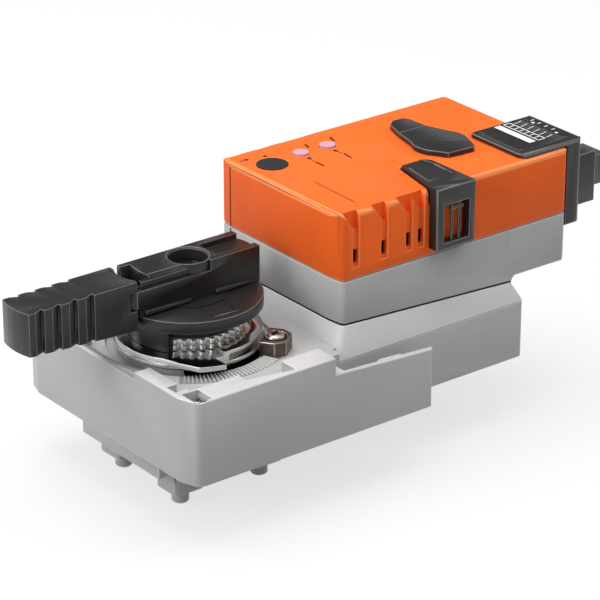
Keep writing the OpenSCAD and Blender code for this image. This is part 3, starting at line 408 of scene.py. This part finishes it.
# width of each node's rounding in mm, and what else is its own; the top, slant and side finishes are lighter
# copies, painted light on faces by how they tilt
EDGES = {
    "gearbox_housing": dict(width=0.25, top=RIM_TOP_PAINTED_LIGHT, limit=0.35, split=True),
    "gearbox_cover": dict(width=0.3, inner=31.5, slant=SLOPE_PAINTED_LIGHT),
    "valve_foot": dict(width=0.4),
    "upper_housing": dict(width=0.3),
    "top_cover": dict(width=0.35, limit=0.35, slant=EDGE_HIGHLIGHTS["orange_cover"]),
    "indicator_disc": dict(width=0.22, inner=20.0),
    "lever_body": dict(width=0.18, low=56.2),
    "handle_grip": dict(width=0.18, angle=20, gentle=8),
    "release_button": dict(width=0.4),
    "terminal_cover": dict(width=0.35, slant=EDGE_HIGHLIGHTS["black_plastic"]),
    "cable_gland": dict(width=0.4),
    "near_block": dict(width=0.25),
    "far_block": dict(width=0.25),
    "service_flap": dict(width=0.25),
    "flap_anchor": dict(width=0.25),
    "cam_plate": dict(width=0.12, side=PLATE_SIDE_PAINTED_LIGHT),
    "serrated_ring": dict(width=0.08, angle=60, gentle=5, finish=TOOTH_FINISH),
}
for node_name, rounding in EDGES.items():
    soften_edges(node_name, **rounding)


def closed_mesh(name, points, faces):
    """A mesh from places in mm with its normals turned outward."""
    mesh = bpy.data.meshes.new(name)
    mesh.from_pydata([Vector(point) * MM for point in points], [], faces)
    shape = bmesh.new()
    shape.from_mesh(mesh)
    bmesh.ops.recalc_face_normals(shape, faces=shape.faces)
    shape.to_mesh(mesh)
    shape.free()
    return mesh


def slab(name, outline, low, high):
    """An upright prism over an outline in plan."""
    count = len(outline)
    points = [(x, y, z) for z in (low, high) for x, y in outline]
    faces = [list(range(count)), list(range(count, 2 * count))]
    faces += [(i, (i + 1) % count, count + (i + 1) % count, count + i) for i in range(count)]
    return closed_mesh(name, points, faces)


def bar(name, x, y, z):
    """A rectangular prism from three pairs of limits."""
    outline = [(x[0], y[0]), (x[1], y[0]), (x[1], y[1]), (x[0], y[1])]
    return slab(name, outline, z[0], z[1])


def stroke(name, start, end, width, low, high):
    """A straight printed line between two places in plan."""
    run = Vector((end[0] - start[0], end[1] - start[1])).normalized() * width / 2
    side = (-run.y, run.x)
    outline = [(start[0] + side[0], start[1] + side[1]), (start[0] - side[0], start[1] - side[1]),
               (end[0] - side[0], end[1] - side[1]), (end[0] + side[0], end[1] + side[1])]
    return slab(name, outline, low, high)


def dot(name, centre, radius, low, high, sides=16):
    """A round or many-sided printed mark."""
    outline = [(centre[0] + radius * math.cos(2 * math.pi * i / sides),
                centre[1] + radius * math.sin(2 * math.pi * i / sides)) for i in range(sides)]
    return slab(name, outline, low, high)


def swept_arc(name, profile, first, last, steps):
    """A profile of radius and height carried round the spindle between two angles."""
    count = len(profile)
    points, faces = [], []
    for step in range(steps + 1):
        turn = math.radians(first + (last - first) * step / steps)
        points += [(r * math.cos(turn), r * math.sin(turn), z) for r, z in profile]
    for step in range(steps):
        for i in range(count):
            j = (i + 1) % count
            faces.append((step * count + i, step * count + j, (step + 1) * count + j, (step + 1) * count + i))
    faces += [list(range(count)), list(range(steps * count, (steps + 1) * count))]
    return closed_mesh(name, points, faces)


def turned(name, profile, sides=40):
    """A closed turned shape about Z; the profile starts and ends on the axis."""
    rim = profile[1:-1]
    points = [(0, 0, profile[0][1]), (0, 0, profile[-1][1])]
    for side in range(sides):
        turn = 2 * math.pi * side / sides
        points += [(r * math.cos(turn), r * math.sin(turn), z) for r, z in rim]
    faces = []
    for side in range(sides):
        a, b = 2 + side * len(rim), 2 + (side + 1) % sides * len(rim)
        faces += [(0, a, b), (1, a + len(rim) - 1, b + len(rim) - 1)]
        faces += [(a + i, a + i + 1, b + i + 1, b + i) for i in range(len(rim) - 1)]
    return closed_mesh(name, points, faces)


def joined(name, meshes):
    """Several closed meshes as one."""
    shape = bmesh.new()
    for mesh in meshes:
        shape.from_mesh(mesh)
    whole = bpy.data.meshes.new(name)
    shape.to_mesh(whole)
    shape.free()
    return whole


def moved(mesh, x, y, z):
    """The mesh after a shift in mm."""
    mesh.transform(Matrix.Translation(Vector((x, y, z)) * MM))
    return mesh


def fitted(name, mesh, body, finish):
    """A small piece in place on its body."""
    piece = bpy.data.objects.new(name, mesh)
    bpy.context.scene.collection.objects.link(piece)
    if not mesh.materials:
        mesh.materials.append(finish)
    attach(piece, body)
    return piece


def geometry_tree(name, inputs):
    """A geometry tree with a geometry in and out and the named inputs."""
    tree = bpy.data.node_groups.new(name, "GeometryNodeTree")
    tree.interface.new_socket("Geometry", in_out="INPUT", socket_type="NodeSocketGeometry")
    for label, kind in inputs:
        tree.interface.new_socket(label, in_out="INPUT", socket_type=kind)
    tree.interface.new_socket("Finish", in_out="INPUT", socket_type="NodeSocketMaterial")
    tree.interface.new_socket("Geometry", in_out="OUTPUT", socket_type="NodeSocketGeometry")
    return tree, tree.nodes.new("NodeGroupInput")


def close_tree(tree, given, shown):
    """Realize Instances, then Set Material, then out."""
    real = tree.nodes.new("GeometryNodeRealizeInstances")
    finish = tree.nodes.new("GeometryNodeSetMaterial")
    result = tree.nodes.new("NodeGroupOutput")
    tree.links.new(shown, real.inputs["Geometry"])
    tree.links.new(real.outputs["Geometry"], finish.inputs["Geometry"])
    tree.links.new(given.outputs["Finish"], finish.inputs["Material"])
    tree.links.new(finish.outputs["Geometry"], result.inputs["Geometry"])
    return tree


def row_tree():
    """Copies of the geometry at equal steps along a line."""
    tree, given = geometry_tree("row", (("Count", "NodeSocketInt"), ("Step", "NodeSocketVector")))
    line = tree.nodes.new("GeometryNodeMeshLine")
    line.mode = "OFFSET"
    place = tree.nodes.new("GeometryNodeInstanceOnPoints")
    tree.links.new(given.outputs["Count"], line.inputs["Count"])
    tree.links.new(given.outputs["Step"], line.inputs["Offset"])
    tree.links.new(line.outputs["Mesh"], place.inputs["Points"])
    tree.links.new(given.outputs["Geometry"], place.inputs["Instance"])
    return close_tree(tree, given, place.outputs["Instances"])


def ring_tree():
    """Copies of the geometry turned about the spindle by equal angles."""
    sizes = (("Count", "NodeSocketInt"), ("First", "NodeSocketFloat"), ("Step", "NodeSocketFloat"))
    tree, given = geometry_tree("ring", sizes)
    line = tree.nodes.new("GeometryNodeMeshLine")
    line.mode = "OFFSET"
    line.inputs["Offset"].default_value = (0, 0, 0)
    index = tree.nodes.new("GeometryNodeInputIndex")
    turn = tree.nodes.new("ShaderNodeMath")
    turn.operation = "MULTIPLY_ADD"
    spin = tree.nodes.new("ShaderNodeCombineXYZ")
    place = tree.nodes.new("GeometryNodeInstanceOnPoints")
    tree.links.new(given.outputs["Count"], line.inputs["Count"])
    tree.links.new(index.outputs[0], turn.inputs[0])
    tree.links.new(given.outputs["Step"], turn.inputs[1])
    tree.links.new(given.outputs["First"], turn.inputs[2])
    tree.links.new(turn.outputs[0], spin.inputs["Z"])
    tree.links.new(line.outputs["Mesh"], place.inputs["Points"])
    tree.links.new(spin.outputs[0], place.inputs["Rotation"])
    tree.links.new(given.outputs["Geometry"], place.inputs["Instance"])
    return close_tree(tree, given, place.outputs["Instances"])


def bead_tree():
    """A round bead along the lines of the geometry."""
    tree, given = geometry_tree("bead", (("Radius", "NodeSocketFloat"),))
    curve = tree.nodes.new("GeometryNodeMeshToCurve")
    profile = tree.nodes.new("GeometryNodeCurvePrimitiveCircle")
    profile.inputs["Resolution"].default_value = 8
    bead = tree.nodes.new("GeometryNodeCurveToMesh")
    bead.inputs["Fill Caps"].default_value = True
    tree.links.new(given.outputs["Geometry"], curve.inputs["Mesh"])
    tree.links.new(given.outputs["Radius"], profile.inputs["Radius"])
    tree.links.new(curve.outputs["Curve"], bead.inputs["Curve"])
    tree.links.new(profile.outputs["Curve"], bead.inputs["Profile Curve"])
    return close_tree(tree, given, bead.outputs["Mesh"])


def cross_tree():
    """A cross-shaped recess cut into the top of a screw head."""
    sizes = (("Long", "NodeSocketVector"), ("Wide", "NodeSocketVector"), ("Turn", "NodeSocketFloat"))
    tree, given = geometry_tree("cross_recess", sizes)
    cut = tree.nodes.new("GeometryNodeMeshBoolean")
    cut.operation = "DIFFERENCE"
    cut.solver = "EXACT"
    spin = tree.nodes.new("ShaderNodeCombineXYZ")
    tree.links.new(given.outputs["Turn"], spin.inputs["Z"])
    tree.links.new(given.outputs["Geometry"], cut.inputs["Mesh 1"])
    for label in ("Long", "Wide"):
        arm = tree.nodes.new("GeometryNodeMeshCube")
        place = tree.nodes.new("GeometryNodeTransform")
        tree.links.new(given.outputs[label], arm.inputs["Size"])
        tree.links.new(arm.outputs["Mesh"], place.inputs["Geometry"])
        tree.links.new(spin.outputs[0], place.inputs["Rotation"])
        tree.links.new(place.outputs["Geometry"], cut.inputs["Mesh 2"])
    return close_tree(tree, given, cut.outputs["Mesh"])


ROW, RING, BEAD, CROSS = row_tree(), ring_tree(), bead_tree(), cross_tree()


def grown(name, seed, tree, finish, **values):
    """Runs a geometry tree on a mesh once and returns its plain mesh."""
    holder = bpy.data.objects.new(name + "_seed", seed)
    bpy.context.scene.collection.objects.link(holder)
    growth = holder.modifiers.new("growth", "NODES")
    growth.node_group = tree
    values["Finish"] = finish
    for socket in tree.interface.items_tree:
        if socket.in_out == "INPUT" and socket.name in values:
            growth[socket.identifier] = values[socket.name]
    holder.update_tag()
    seen = holder.evaluated_get(bpy.context.evaluated_depsgraph_get())
    mesh = bpy.data.meshes.new_from_object(seen)
    mesh.name = name
    mesh.materials.clear()
    mesh.materials.append(finish)
    for face in mesh.polygons:
        face.material_index = 0
    bpy.data.objects.remove(holder)
    return mesh


def bead_along(name, points, radius, body, finish):
    """A thin raised line through places in mm."""
    line = bpy.data.meshes.new(name + "_line")
    links = [(i, i + 1) for i in range(len(points) - 1)]
    line.from_pydata([Vector(point) * MM for point in points], links, [])
    mesh = grown(name, line, BEAD, finish, Radius=radius * MM)
    for face in mesh.polygons:
        face.use_smooth = True
    return fitted(name, mesh, body, finish)


def smooth_path(points, steps=5):
    """More places along a soft curve through the given ones."""
    path = []
    padded = [points[0]] + list(points) + [points[-1]]
    for i in range(len(points) - 1):
        a, b, c, d = (Vector(point) for point in padded[i:i + 4])
        for step in range(steps):
            t = step / steps
            path.append(0.5 * (2 * b + (c - a) * t + (2 * a - 5 * b + 4 * c - d) * t * t
                               + (3 * b - a - 3 * c + d) * t ** 3))
    return path + [Vector(points[-1])]


def screw_head(name, radius, rise, shank, turn):
    """A pan head with rounded shoulder and a cross recess, top at z 0."""
    profile = [(0, -rise - shank), (radius * 0.5, -rise - shank), (radius * 0.5, -rise), (radius, -rise),
               (radius, -rise * 0.55), (radius * 0.94, -rise * 0.3), (radius * 0.8, -rise * 0.1),
               (radius * 0.6, -rise * 0.02), (0, 0)]
    head = turned(name, profile)
    arm = radius * 1.25 * MM
    blade = radius * 0.34 * MM
    depth = rise * 1.5 * MM
    return grown(name, head, CROSS, SCREW_FINISH,
                 Long=(arm, blade, depth), Wide=(blade, arm, depth), Turn=turn)


def top_centre(name):
    """Middle of a CAD node in plan and the height of its top, in mm."""
    low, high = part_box(name)
    return (low[0] + high[0]) / 2 / MM, (low[1] + high[1]) / 2 / MM, high[2] / MM


# screws of the end stops: heights run down from the head's top
HEAD_RADIUS, HEAD_RISE, HEAD_SHANK = 3.0, 1.7, 3.6
ARM_LONG, ARM_WIDE, ARM_DEEP = (-1.8, 1.8), (-0.44, 0.44), (-1.2, -0.35)
HEAD_SHADE_RING = ((0, -1.9), (3.4, -1.9), (3.4, -1.45), (3.3, -1.35), (0, -1.35))
CROSS_TURNS = {"near_screw": 0.5, "far_screw": 0.9}  # turn of each cross, in radians

# small screws in the corner pockets
CORNER_RISE, CORNER_SHANK, CORNER_TURN = 1.4, 8, 0.6


def stop_screws():
    """Bright pan heads, each with painted shade: dark bars in its cross recess and a dark ring round the foot
    of the head.
    """
    for name, turn in CROSS_TURNS.items():
        x, y, z = top_centre(name)
        body = frame["nodes"][name]["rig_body"]
        shape = moved(screw_head(name, HEAD_RADIUS, HEAD_RISE, HEAD_SHANK, turn), x, y, z)
        head = fitted(name + "_head", shape, body, SCREW_FINISH)
        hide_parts(name)
        # painted shade: dark bars in the cross recess and a dark ring under the head
        arms = joined("arms", [bar("arm", ARM_LONG, ARM_WIDE, ARM_DEEP),
                               bar("arm", ARM_WIDE, ARM_LONG, ARM_DEEP)])
        arms.transform(Matrix.Rotation(turn, 4, "Z"))
        fitted(name + "_cross_shade", moved(arms, x, y, z), body, PAINTED_SHADE)
        ring = turned(name + "_shade_ring", HEAD_SHADE_RING)
        fitted(name + "_shade_ring", moved(ring, x, y, z), body, PAINTED_SHADE)


def cover_screws():
    """The two small screws in the corner pockets, a row of two."""
    low, high = (Vector(v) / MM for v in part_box("gearbox_screws"))
    radius = (high.x - low.x) / 2
    head = screw_head("corner_screw", radius, CORNER_RISE, CORNER_SHANK, CORNER_TURN)
    seed = moved(head, (low.x + high.x) / 2, low.y + radius, high.z)
    spacing = (high.y - low.y - 2 * radius) * MM
    mesh = grown("corner_screws", seed, ROW, SCREW_FINISH, Count=2, Step=(0, spacing, 0))
    piece = fitted("corner_screws", mesh, "housing", SCREW_FINISH)
    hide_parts("gearbox_screws")


# deck round the spindle: profiles are pairs of radius and height in mm, arcs are in degrees
GROOVE_SHADE_PROFILE = ((21.56, 37.62), (25.44, 37.62), (25.44, 37.8), (21.9, 37.8), (21.9, 38.93), (21.56, 38.93))
TOOTH_FLOOR = ((25.6, 38.9), (30.6, 38.9), (30.6, 39.05), (25.6, 39.05))
HALF_GROOVE, HALF_FLOOR, ARC_STEPS = 40, 51, 48
RIDGE_COUNT, RIDGE_PITCH, HALF_RIDGES = 26, 2.5, 48.75

# side, middle of its groove, shift of its teeth, teeth left out at the start
TOOTH_ARCS = (("near", -90, 10, 0), ("far", 90, -10, 13))

# a pointed ridge that starts on the groove's edge and ends at the arc's outer one
RIDGE_CORNERS = (
    (24.4, 0, 38.6), (24.4, 0, 38.85), (25.7, -0.36, 38.7), (25.7, 0.36, 38.7), (25.7, 0, 39.6),
    (30.5, -0.36, 38.7), (30.5, 0.36, 38.7), (30.5, 0, 39.45))
RIDGE_FACES = (
    (0, 2, 1), (1, 2, 4), (0, 1, 3), (1, 4, 3), (0, 3, 2),
    (2, 5, 7, 4), (3, 4, 7, 6), (5, 6, 7), (2, 3, 6, 5))


def tooth_ridges():
    """Painted shade in the ring groove, a dark sheet of painted shade between the ridges, and the pointed
    ridges beside the groove in a painted highlight, both arcs.
    """
    for side, middle, shift, skipped in TOOTH_ARCS:
        # painted shade: a black sheet in the ring groove where it lies in shadow under the cam plate
        groove_shade = swept_arc("groove_shade", GROOVE_SHADE_PROFILE, middle - HALF_GROOVE, middle + HALF_GROOVE, ARC_STEPS)
        fitted(side + "_painted_groove_shade", groove_shade, "housing", PAINTED_SHADE)
        centre = middle + shift
        floor = swept_arc("tooth_floor", TOOTH_FLOOR, centre - HALF_FLOOR, centre + HALF_FLOOR, ARC_STEPS)
        fitted(side + "_tooth_floor", floor, "housing", TOOTH_GAP_PAINTED_SHADE)
        first = centre - HALF_RIDGES + skipped * RIDGE_PITCH
        mesh = grown(side + "_ridges", closed_mesh("ridge", RIDGE_CORNERS, RIDGE_FACES), RING, RIDGE_HIGHLIGHT,
                     Count=RIDGE_COUNT, First=math.radians(first), Step=math.radians(RIDGE_PITCH))
        fitted(side + "_ridges", mesh, "housing", RIDGE_HIGHLIGHT)


# prints: how far they sink into the face and stand over it, in mm
PRINT_SINK, PRINT_THICK = 0.05, 0.03

# print on the terminal cover, places in plan
BAR_X, BAR_Y = (115.4, 117.9), (-22.6, -5.7)
BOX_X, BOX_Y, BOX_LINE = (119.1, 121.8), (-22.5, -5.98), 0.34
BOX_RUNGS, BOX_CELL = 8, 2.36
LEADER_START, LEADER_BEND, LEADER_END = (122.7, -22.0), (124.2, -21.9), (125.9, -21.4)
LEADER_WIDTH, LEADER_COUNT, LEADER_STEP = 0.26, 6, 2.95
END_MARK, END_MARK_RADIUS, END_MARK_STEP = (127.9, -21.1), 0.7, 11.0
END_BAR_X, END_BAR_Y, END_BAR_COUNT, END_BAR_STEP = (128.4, 129.9), (-18.4, -18.0), 4, 3.3


def print_heights(top):
    """Lower and upper face of a print on a level face."""
    return top - PRINT_SINK, top + PRINT_THICK


def printed_row(name, seed, count, step):
    """White copies of one mark at equal steps across the terminal cover."""
    row = grown(name, seed, ROW, WHITE_PRINT, Count=count, Step=(0, step * MM, 0))
    fitted(name, row, "housing", WHITE_PRINT)


def terminal_print():
    """Plain bar, row of blank boxes, leader lines and end marks."""
    z = print_heights(top_centre("terminal_cover")[2])
    fitted("terminal_bar", bar("terminal_bar", BAR_X, BAR_Y, z), "housing", WHITE_PRINT)
    half = BOX_LINE / 2
    rails = [bar("rail", (x - half, x + half), BOX_Y, z) for x in BOX_X]
    fitted("terminal_rails", joined("terminal_rails", rails), "housing", WHITE_PRINT)
    rung = bar("rung", BOX_X, (BOX_Y[0] - half, BOX_Y[0] + half), z)
    printed_row("terminal_rungs", rung, BOX_RUNGS, BOX_CELL)
    leader = joined("leader", [stroke("leader", LEADER_START, LEADER_BEND, LEADER_WIDTH, *z),
                               stroke("leader", LEADER_BEND, LEADER_END, LEADER_WIDTH, *z)])
    printed_row("leader_lines", leader, LEADER_COUNT, LEADER_STEP)
    printed_row("end_marks", dot("mark", END_MARK, END_MARK_RADIUS, *z, sides=4), 2, END_MARK_STEP)
    printed_row("end_bars", bar("end_bar", END_BAR_X, END_BAR_Y, z), END_BAR_COUNT, END_BAR_STEP)


# marks on the orange cover, places in plan
POINTER_DOTS, POINTER_RADIUS = ((66.0, 12.6), (55.6, 12.6)), 0.75
LID_STROKES = (  # start, end, width
    ((66.0, 12.6), (66.3, 9.8), 0.4), ((55.6, 12.6), (55.4, 9.8), 0.4),
    ((66.6, 9.2), (66.2, 4.8), 0.75), ((55.3, 9.2), (55.3, 4.8), 0.75),
    ((61.7, 22.5), (61.1, 19.7), 0.8), ((71.9, 22.8), (70.8, 19.3), 0.8),
    ((45.0, -3.6), (44.6, -24.0), 0.35))
TURN_ARROWS = ((38.6, 23.4, 1), (46.8, 22.2, -1))  # place, and the way along X that it points
ARROW_TAIL, ARROW_NECK, ARROW_WIDTH = 1.6, 0.6, 0.5
ARROW_BASE, ARROW_TIP, ARROW_HALF = 0.4, 2.0, 0.9


def lid_print():
    """Generic marks on the orange cover: pointers at the buttons, turn arrows, a rule."""
    z = print_heights(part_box("flap_anchor")[0][2] / MM)  # the anchor stands on the cover
    marks = [dot("mark", place, POINTER_RADIUS, *z) for place in POINTER_DOTS]
    marks += [stroke("mark", start, end, width, *z) for start, end, width in LID_STROKES]
    for x, y, way in TURN_ARROWS:
        marks.append(stroke("mark", (x - ARROW_TAIL, y), (x + ARROW_NECK * way, y), ARROW_WIDTH, *z))
        base, tip = x + ARROW_BASE * way, x + ARROW_TIP * way
        marks.append(slab("mark", [(base, y - ARROW_HALF), (tip, y), (base, y + ARROW_HALF)], *z))
    fitted("lid_marks", joined("lid_marks", marks), "housing", BLACK_PRINT)


# spring under the release button
COIL_TURNS, COIL_RADIUS, WIRE = 6, 3.1, 0.45  # the wire by its radius
TURN_STEPS = 20


def release_coil():
    """The round-wire spring under the release button."""
    low, high = (Vector(v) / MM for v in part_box("release_spring"))
    x, y, height = (low.x + high.x) / 2, (low.y + high.y) / 2, high.z - low.z
    steps = COIL_TURNS * TURN_STEPS
    coil = []
    for step in range(steps + 1):
        turn = 2 * math.pi * COIL_TURNS * step / steps
        rise = WIRE + (height - 2 * WIRE) * step / steps
        coil.append((x + COIL_RADIUS * math.cos(turn), y + COIL_RADIUS * math.sin(turn), low.z + rise))
    piece = bead_along("release_coil", coil, WIRE, "housing", MATERIALS["bright_steel"])
    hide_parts("release_spring")
    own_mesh(piece)


# fine lines of the mouldings: the frame in plan, the wave in X and height
RELEASE_FRAME = ((73.8, -13.9), (73.3, -16.4), (71.7, -25.7), (81.4, -25.7), (81.8, -16.5))
FRAME_DROP = 0.36
WAVE = ((91.2, 70.9), (95.3, 70.4), (100.6, 70.5), (104.6, 73.2), (107.9, 73.9), (111.2, 73.7),
        (115.4, 72.7), (118.4, 70.8), (120.2, 67.6), (121.3, 63.6))
FRAME_BEAD, WAVE_BEAD, LINE_BEAD = 0.16, 0.13, 0.12
BEAD_SINK = 0.02  # from the wall's face to the bead's middle
SEAM_PROUD, SEAM_SINK, SEAM_Y = 0.04, 0.1, (24.75, 25.15)
COVER_SEAM_Z, TRAY_SEAM_Z = (58.9, 78.8), (54.0, 58.3)
LINE_X, LINE_Z = 100.4, (58.4, 46.2)


def raised_lines():
    """Fine moulded lines: release frame in a painted highlight, wavy mark, end seams, housing line."""
    corner = Vector(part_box("top_cover")[0]) / MM
    frame_z = top_centre("release_button")[2] - FRAME_DROP
    wall_y = corner.y + BEAD_SINK
    # painted highlight: the frame is a lighter bead round the release recess, for the light its rim catches
    bead_along("release_frame", [(x, y, frame_z) for x, y in RELEASE_FRAME], FRAME_BEAD, "release",
               FRAME_HIGHLIGHT)
    bead_along("wavy_mark", smooth_path([(x, wall_y, z) for x, z in WAVE]), WAVE_BEAD, "housing",
               MATERIALS["orange_cover"])
    seam_x = (corner.x - SEAM_PROUD, corner.x + SEAM_SINK)
    fitted("end_seam", bar("end_seam", seam_x, SEAM_Y, COVER_SEAM_Z), "housing", SEAM_RED)
    fitted("end_seam_low", bar("end_seam_low", seam_x, SEAM_Y, TRAY_SEAM_Z), "housing", SEAM_GREY)
    bead_along("housing_line", [(LINE_X, wall_y, z) for z in LINE_Z], LINE_BEAD, "housing",
               MATERIALS["tray_grey"])


stop_screws()
cover_screws()
tooth_ridges()
terminal_print()
lid_print()
raised_lines()
release_coil()


# studio, in m
FLOOR_SIZE, FLOOR_DROP = 6, 0.0002
SURROUND_LIGHT = 0.42
CEILING_HEIGHT, CEILING_DIM = 0.28, 0.16  # upward part of a ray, and the white it meets there
FLOOR_ALBEDO, FLOOR_SHOWN = (0.34, 0.34, 0.34), (0.8, 0.8, 0.8)
FLOOR_GLOW, REFLECTED_GLOW, GLOW_SHARE = 1.0, 0.5, 0.7
LAMPS = (  # name, place, target, size, power
    ("overhead", (0.0, 0.1, 0.95), (0.03, 0, 0.04), 0.9, 8.6),
    ("left", (-0.95, 0.05, 0.5), (0, 0, 0.04), 0.6, 4.2),
    ("near_edges", (0.56, -0.45, 0.72), (0.03, 0, 0.04), 0.22, 1.0),
    ("left_edges", (-0.41, 0.72, 0.56), (0, 0, 0.04), 0.22, 1.0))


def studio():
    """A pale floor, a white surround and soft lamps."""
    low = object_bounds()[0].z
    bpy.ops.mesh.primitive_plane_add(size=FLOOR_SIZE, location=(0, 0, low - FLOOR_DROP))
    floor = bpy.context.object
    floor.name = "floor"
    floor.data.materials.append(pale_floor())

    world = bpy.data.worlds.new("surround")
    bpy.context.scene.world = world
    world.use_nodes = True
    nodes, links = world.node_tree.nodes, world.node_tree.links
    background = nodes["Background"]
    background.inputs["Color"].default_value = (1, 1, 1, 1)
    background.inputs["Strength"].default_value = SURROUND_LIGHT
    white = nodes.new("ShaderNodeBackground")
    white.inputs["Color"].default_value = (1, 1, 1, 1)
    links.new(ceiling_shade(nodes, links), white.inputs["Strength"])
    mix = nodes.new("ShaderNodeMixShader")
    links.new(seen_directly(nodes, links), mix.inputs["Fac"])
    links.new(background.outputs[0], mix.inputs[1])
    links.new(white.outputs[0], mix.inputs[2])
    links.new(mix.outputs[0], nodes["World Output"].inputs["Surface"])

    for name, place, target, size, power in LAMPS:
        lamp(name, place, target, size, power)


def ceiling_shade(nodes, links):
    """White to the camera; in reflections white at the horizon and dimmer overhead."""
    direction = nodes.new("ShaderNodeTexCoord")
    parts = nodes.new("ShaderNodeSeparateXYZ")
    links.new(direction.outputs["Generated"], parts.inputs[0])
    height = nodes.new("ShaderNodeMapRange")
    height.inputs["From Min"].default_value = 0.0
    height.inputs["From Max"].default_value = CEILING_HEIGHT
    height.inputs["To Min"].default_value = 1.0
    height.inputs["To Max"].default_value = CEILING_DIM
    links.new(parts.outputs["Z"], height.inputs["Value"])
    rays = nodes.new("ShaderNodeLightPath")
    straight = nodes.new("ShaderNodeMath")
    straight.operation = "MAXIMUM"
    links.new(rays.outputs["Is Camera Ray"], straight.inputs[0])
    links.new(height.outputs["Result"], straight.inputs[1])
    return straight.outputs[0]


def seen_directly(nodes, links):
    """One for camera, glossy and transmission rays, nought for diffuse light."""
    rays = nodes.new("ShaderNodeLightPath")
    total = rays.outputs["Is Camera Ray"]
    for name in ("Is Glossy Ray", "Is Transmission Ray"):
        higher = nodes.new("ShaderNodeMath")
        higher.operation = "MAXIMUM"
        links.new(total, higher.inputs[0])
        links.new(rays.outputs[name], higher.inputs[1])
        total = higher.outputs[0]
    return total


def pale_floor():
    """Matt pale floor that keeps the shadow and shows white in reflections."""
    material = bpy.data.materials.new("floor_white")
    material.use_nodes = True
    nodes, links = material.node_tree.nodes, material.node_tree.links
    matt = nodes["Principled BSDF"]
    matt.inputs["Base Color"].default_value = (*FLOOR_ALBEDO, 1)
    matt.inputs["Roughness"].default_value = 0.9
    bright = nodes.new("ShaderNodeBsdfDiffuse")
    bright.inputs["Color"].default_value = (*FLOOR_SHOWN, 1)
    glow = nodes.new("ShaderNodeEmission")
    rays = nodes.new("ShaderNodeLightPath")
    brighter = nodes.new("ShaderNodeMath")
    brighter.operation = "MULTIPLY_ADD"
    brighter.inputs[1].default_value = REFLECTED_GLOW
    brighter.inputs[2].default_value = FLOOR_GLOW
    links.new(rays.outputs["Is Glossy Ray"], brighter.inputs[0])
    links.new(brighter.outputs[0], glow.inputs["Strength"])
    shown = nodes.new("ShaderNodeMixShader")
    shown.inputs["Fac"].default_value = GLOW_SHARE
    links.new(bright.outputs[0], shown.inputs[1])
    links.new(glow.outputs[0], shown.inputs[2])
    mix = nodes.new("ShaderNodeMixShader")
    links.new(seen_directly(nodes, links), mix.inputs["Fac"])
    links.new(matt.outputs[0], mix.inputs[1])
    links.new(shown.outputs[0], mix.inputs[2])
    links.new(mix.outputs[0], nodes["Material Output"].inputs["Surface"])
    return material


def lamp(name, place, target, size, power):
    """A square area lamp that faces its target."""
    light = bpy.data.lights.new(name, "AREA")
    light.size = size
    light.energy = power
    holder = bpy.data.objects.new(name, light)
    bpy.context.scene.collection.objects.link(holder)
    holder.location = place
    holder.rotation_mode = "QUATERNION"
    holder.rotation_quaternion = (Vector(target) - Vector(place)).to_track_quat("-Z", "Y")


def camera():
    """The photograph's camera."""
    view = bpy.data.cameras.new("camera")
    view.lens = CAMERA_LENS
    view.sensor_width = CAMERA_SENSOR
    view.clip_start = 0.01
    view.clip_end = 20
    holder = bpy.data.objects.new("camera", view)
    bpy.context.scene.collection.objects.link(holder)
    holder.location = CAMERA_PLACE
    holder.rotation_mode = "QUATERNION"
    holder.rotation_quaternion = (-CAMERA_BACK).to_track_quat("-Z", "Y")
    bpy.context.scene.camera = holder


studio()
camera()
bpy.context.scene.view_settings.view_transform = "Standard"
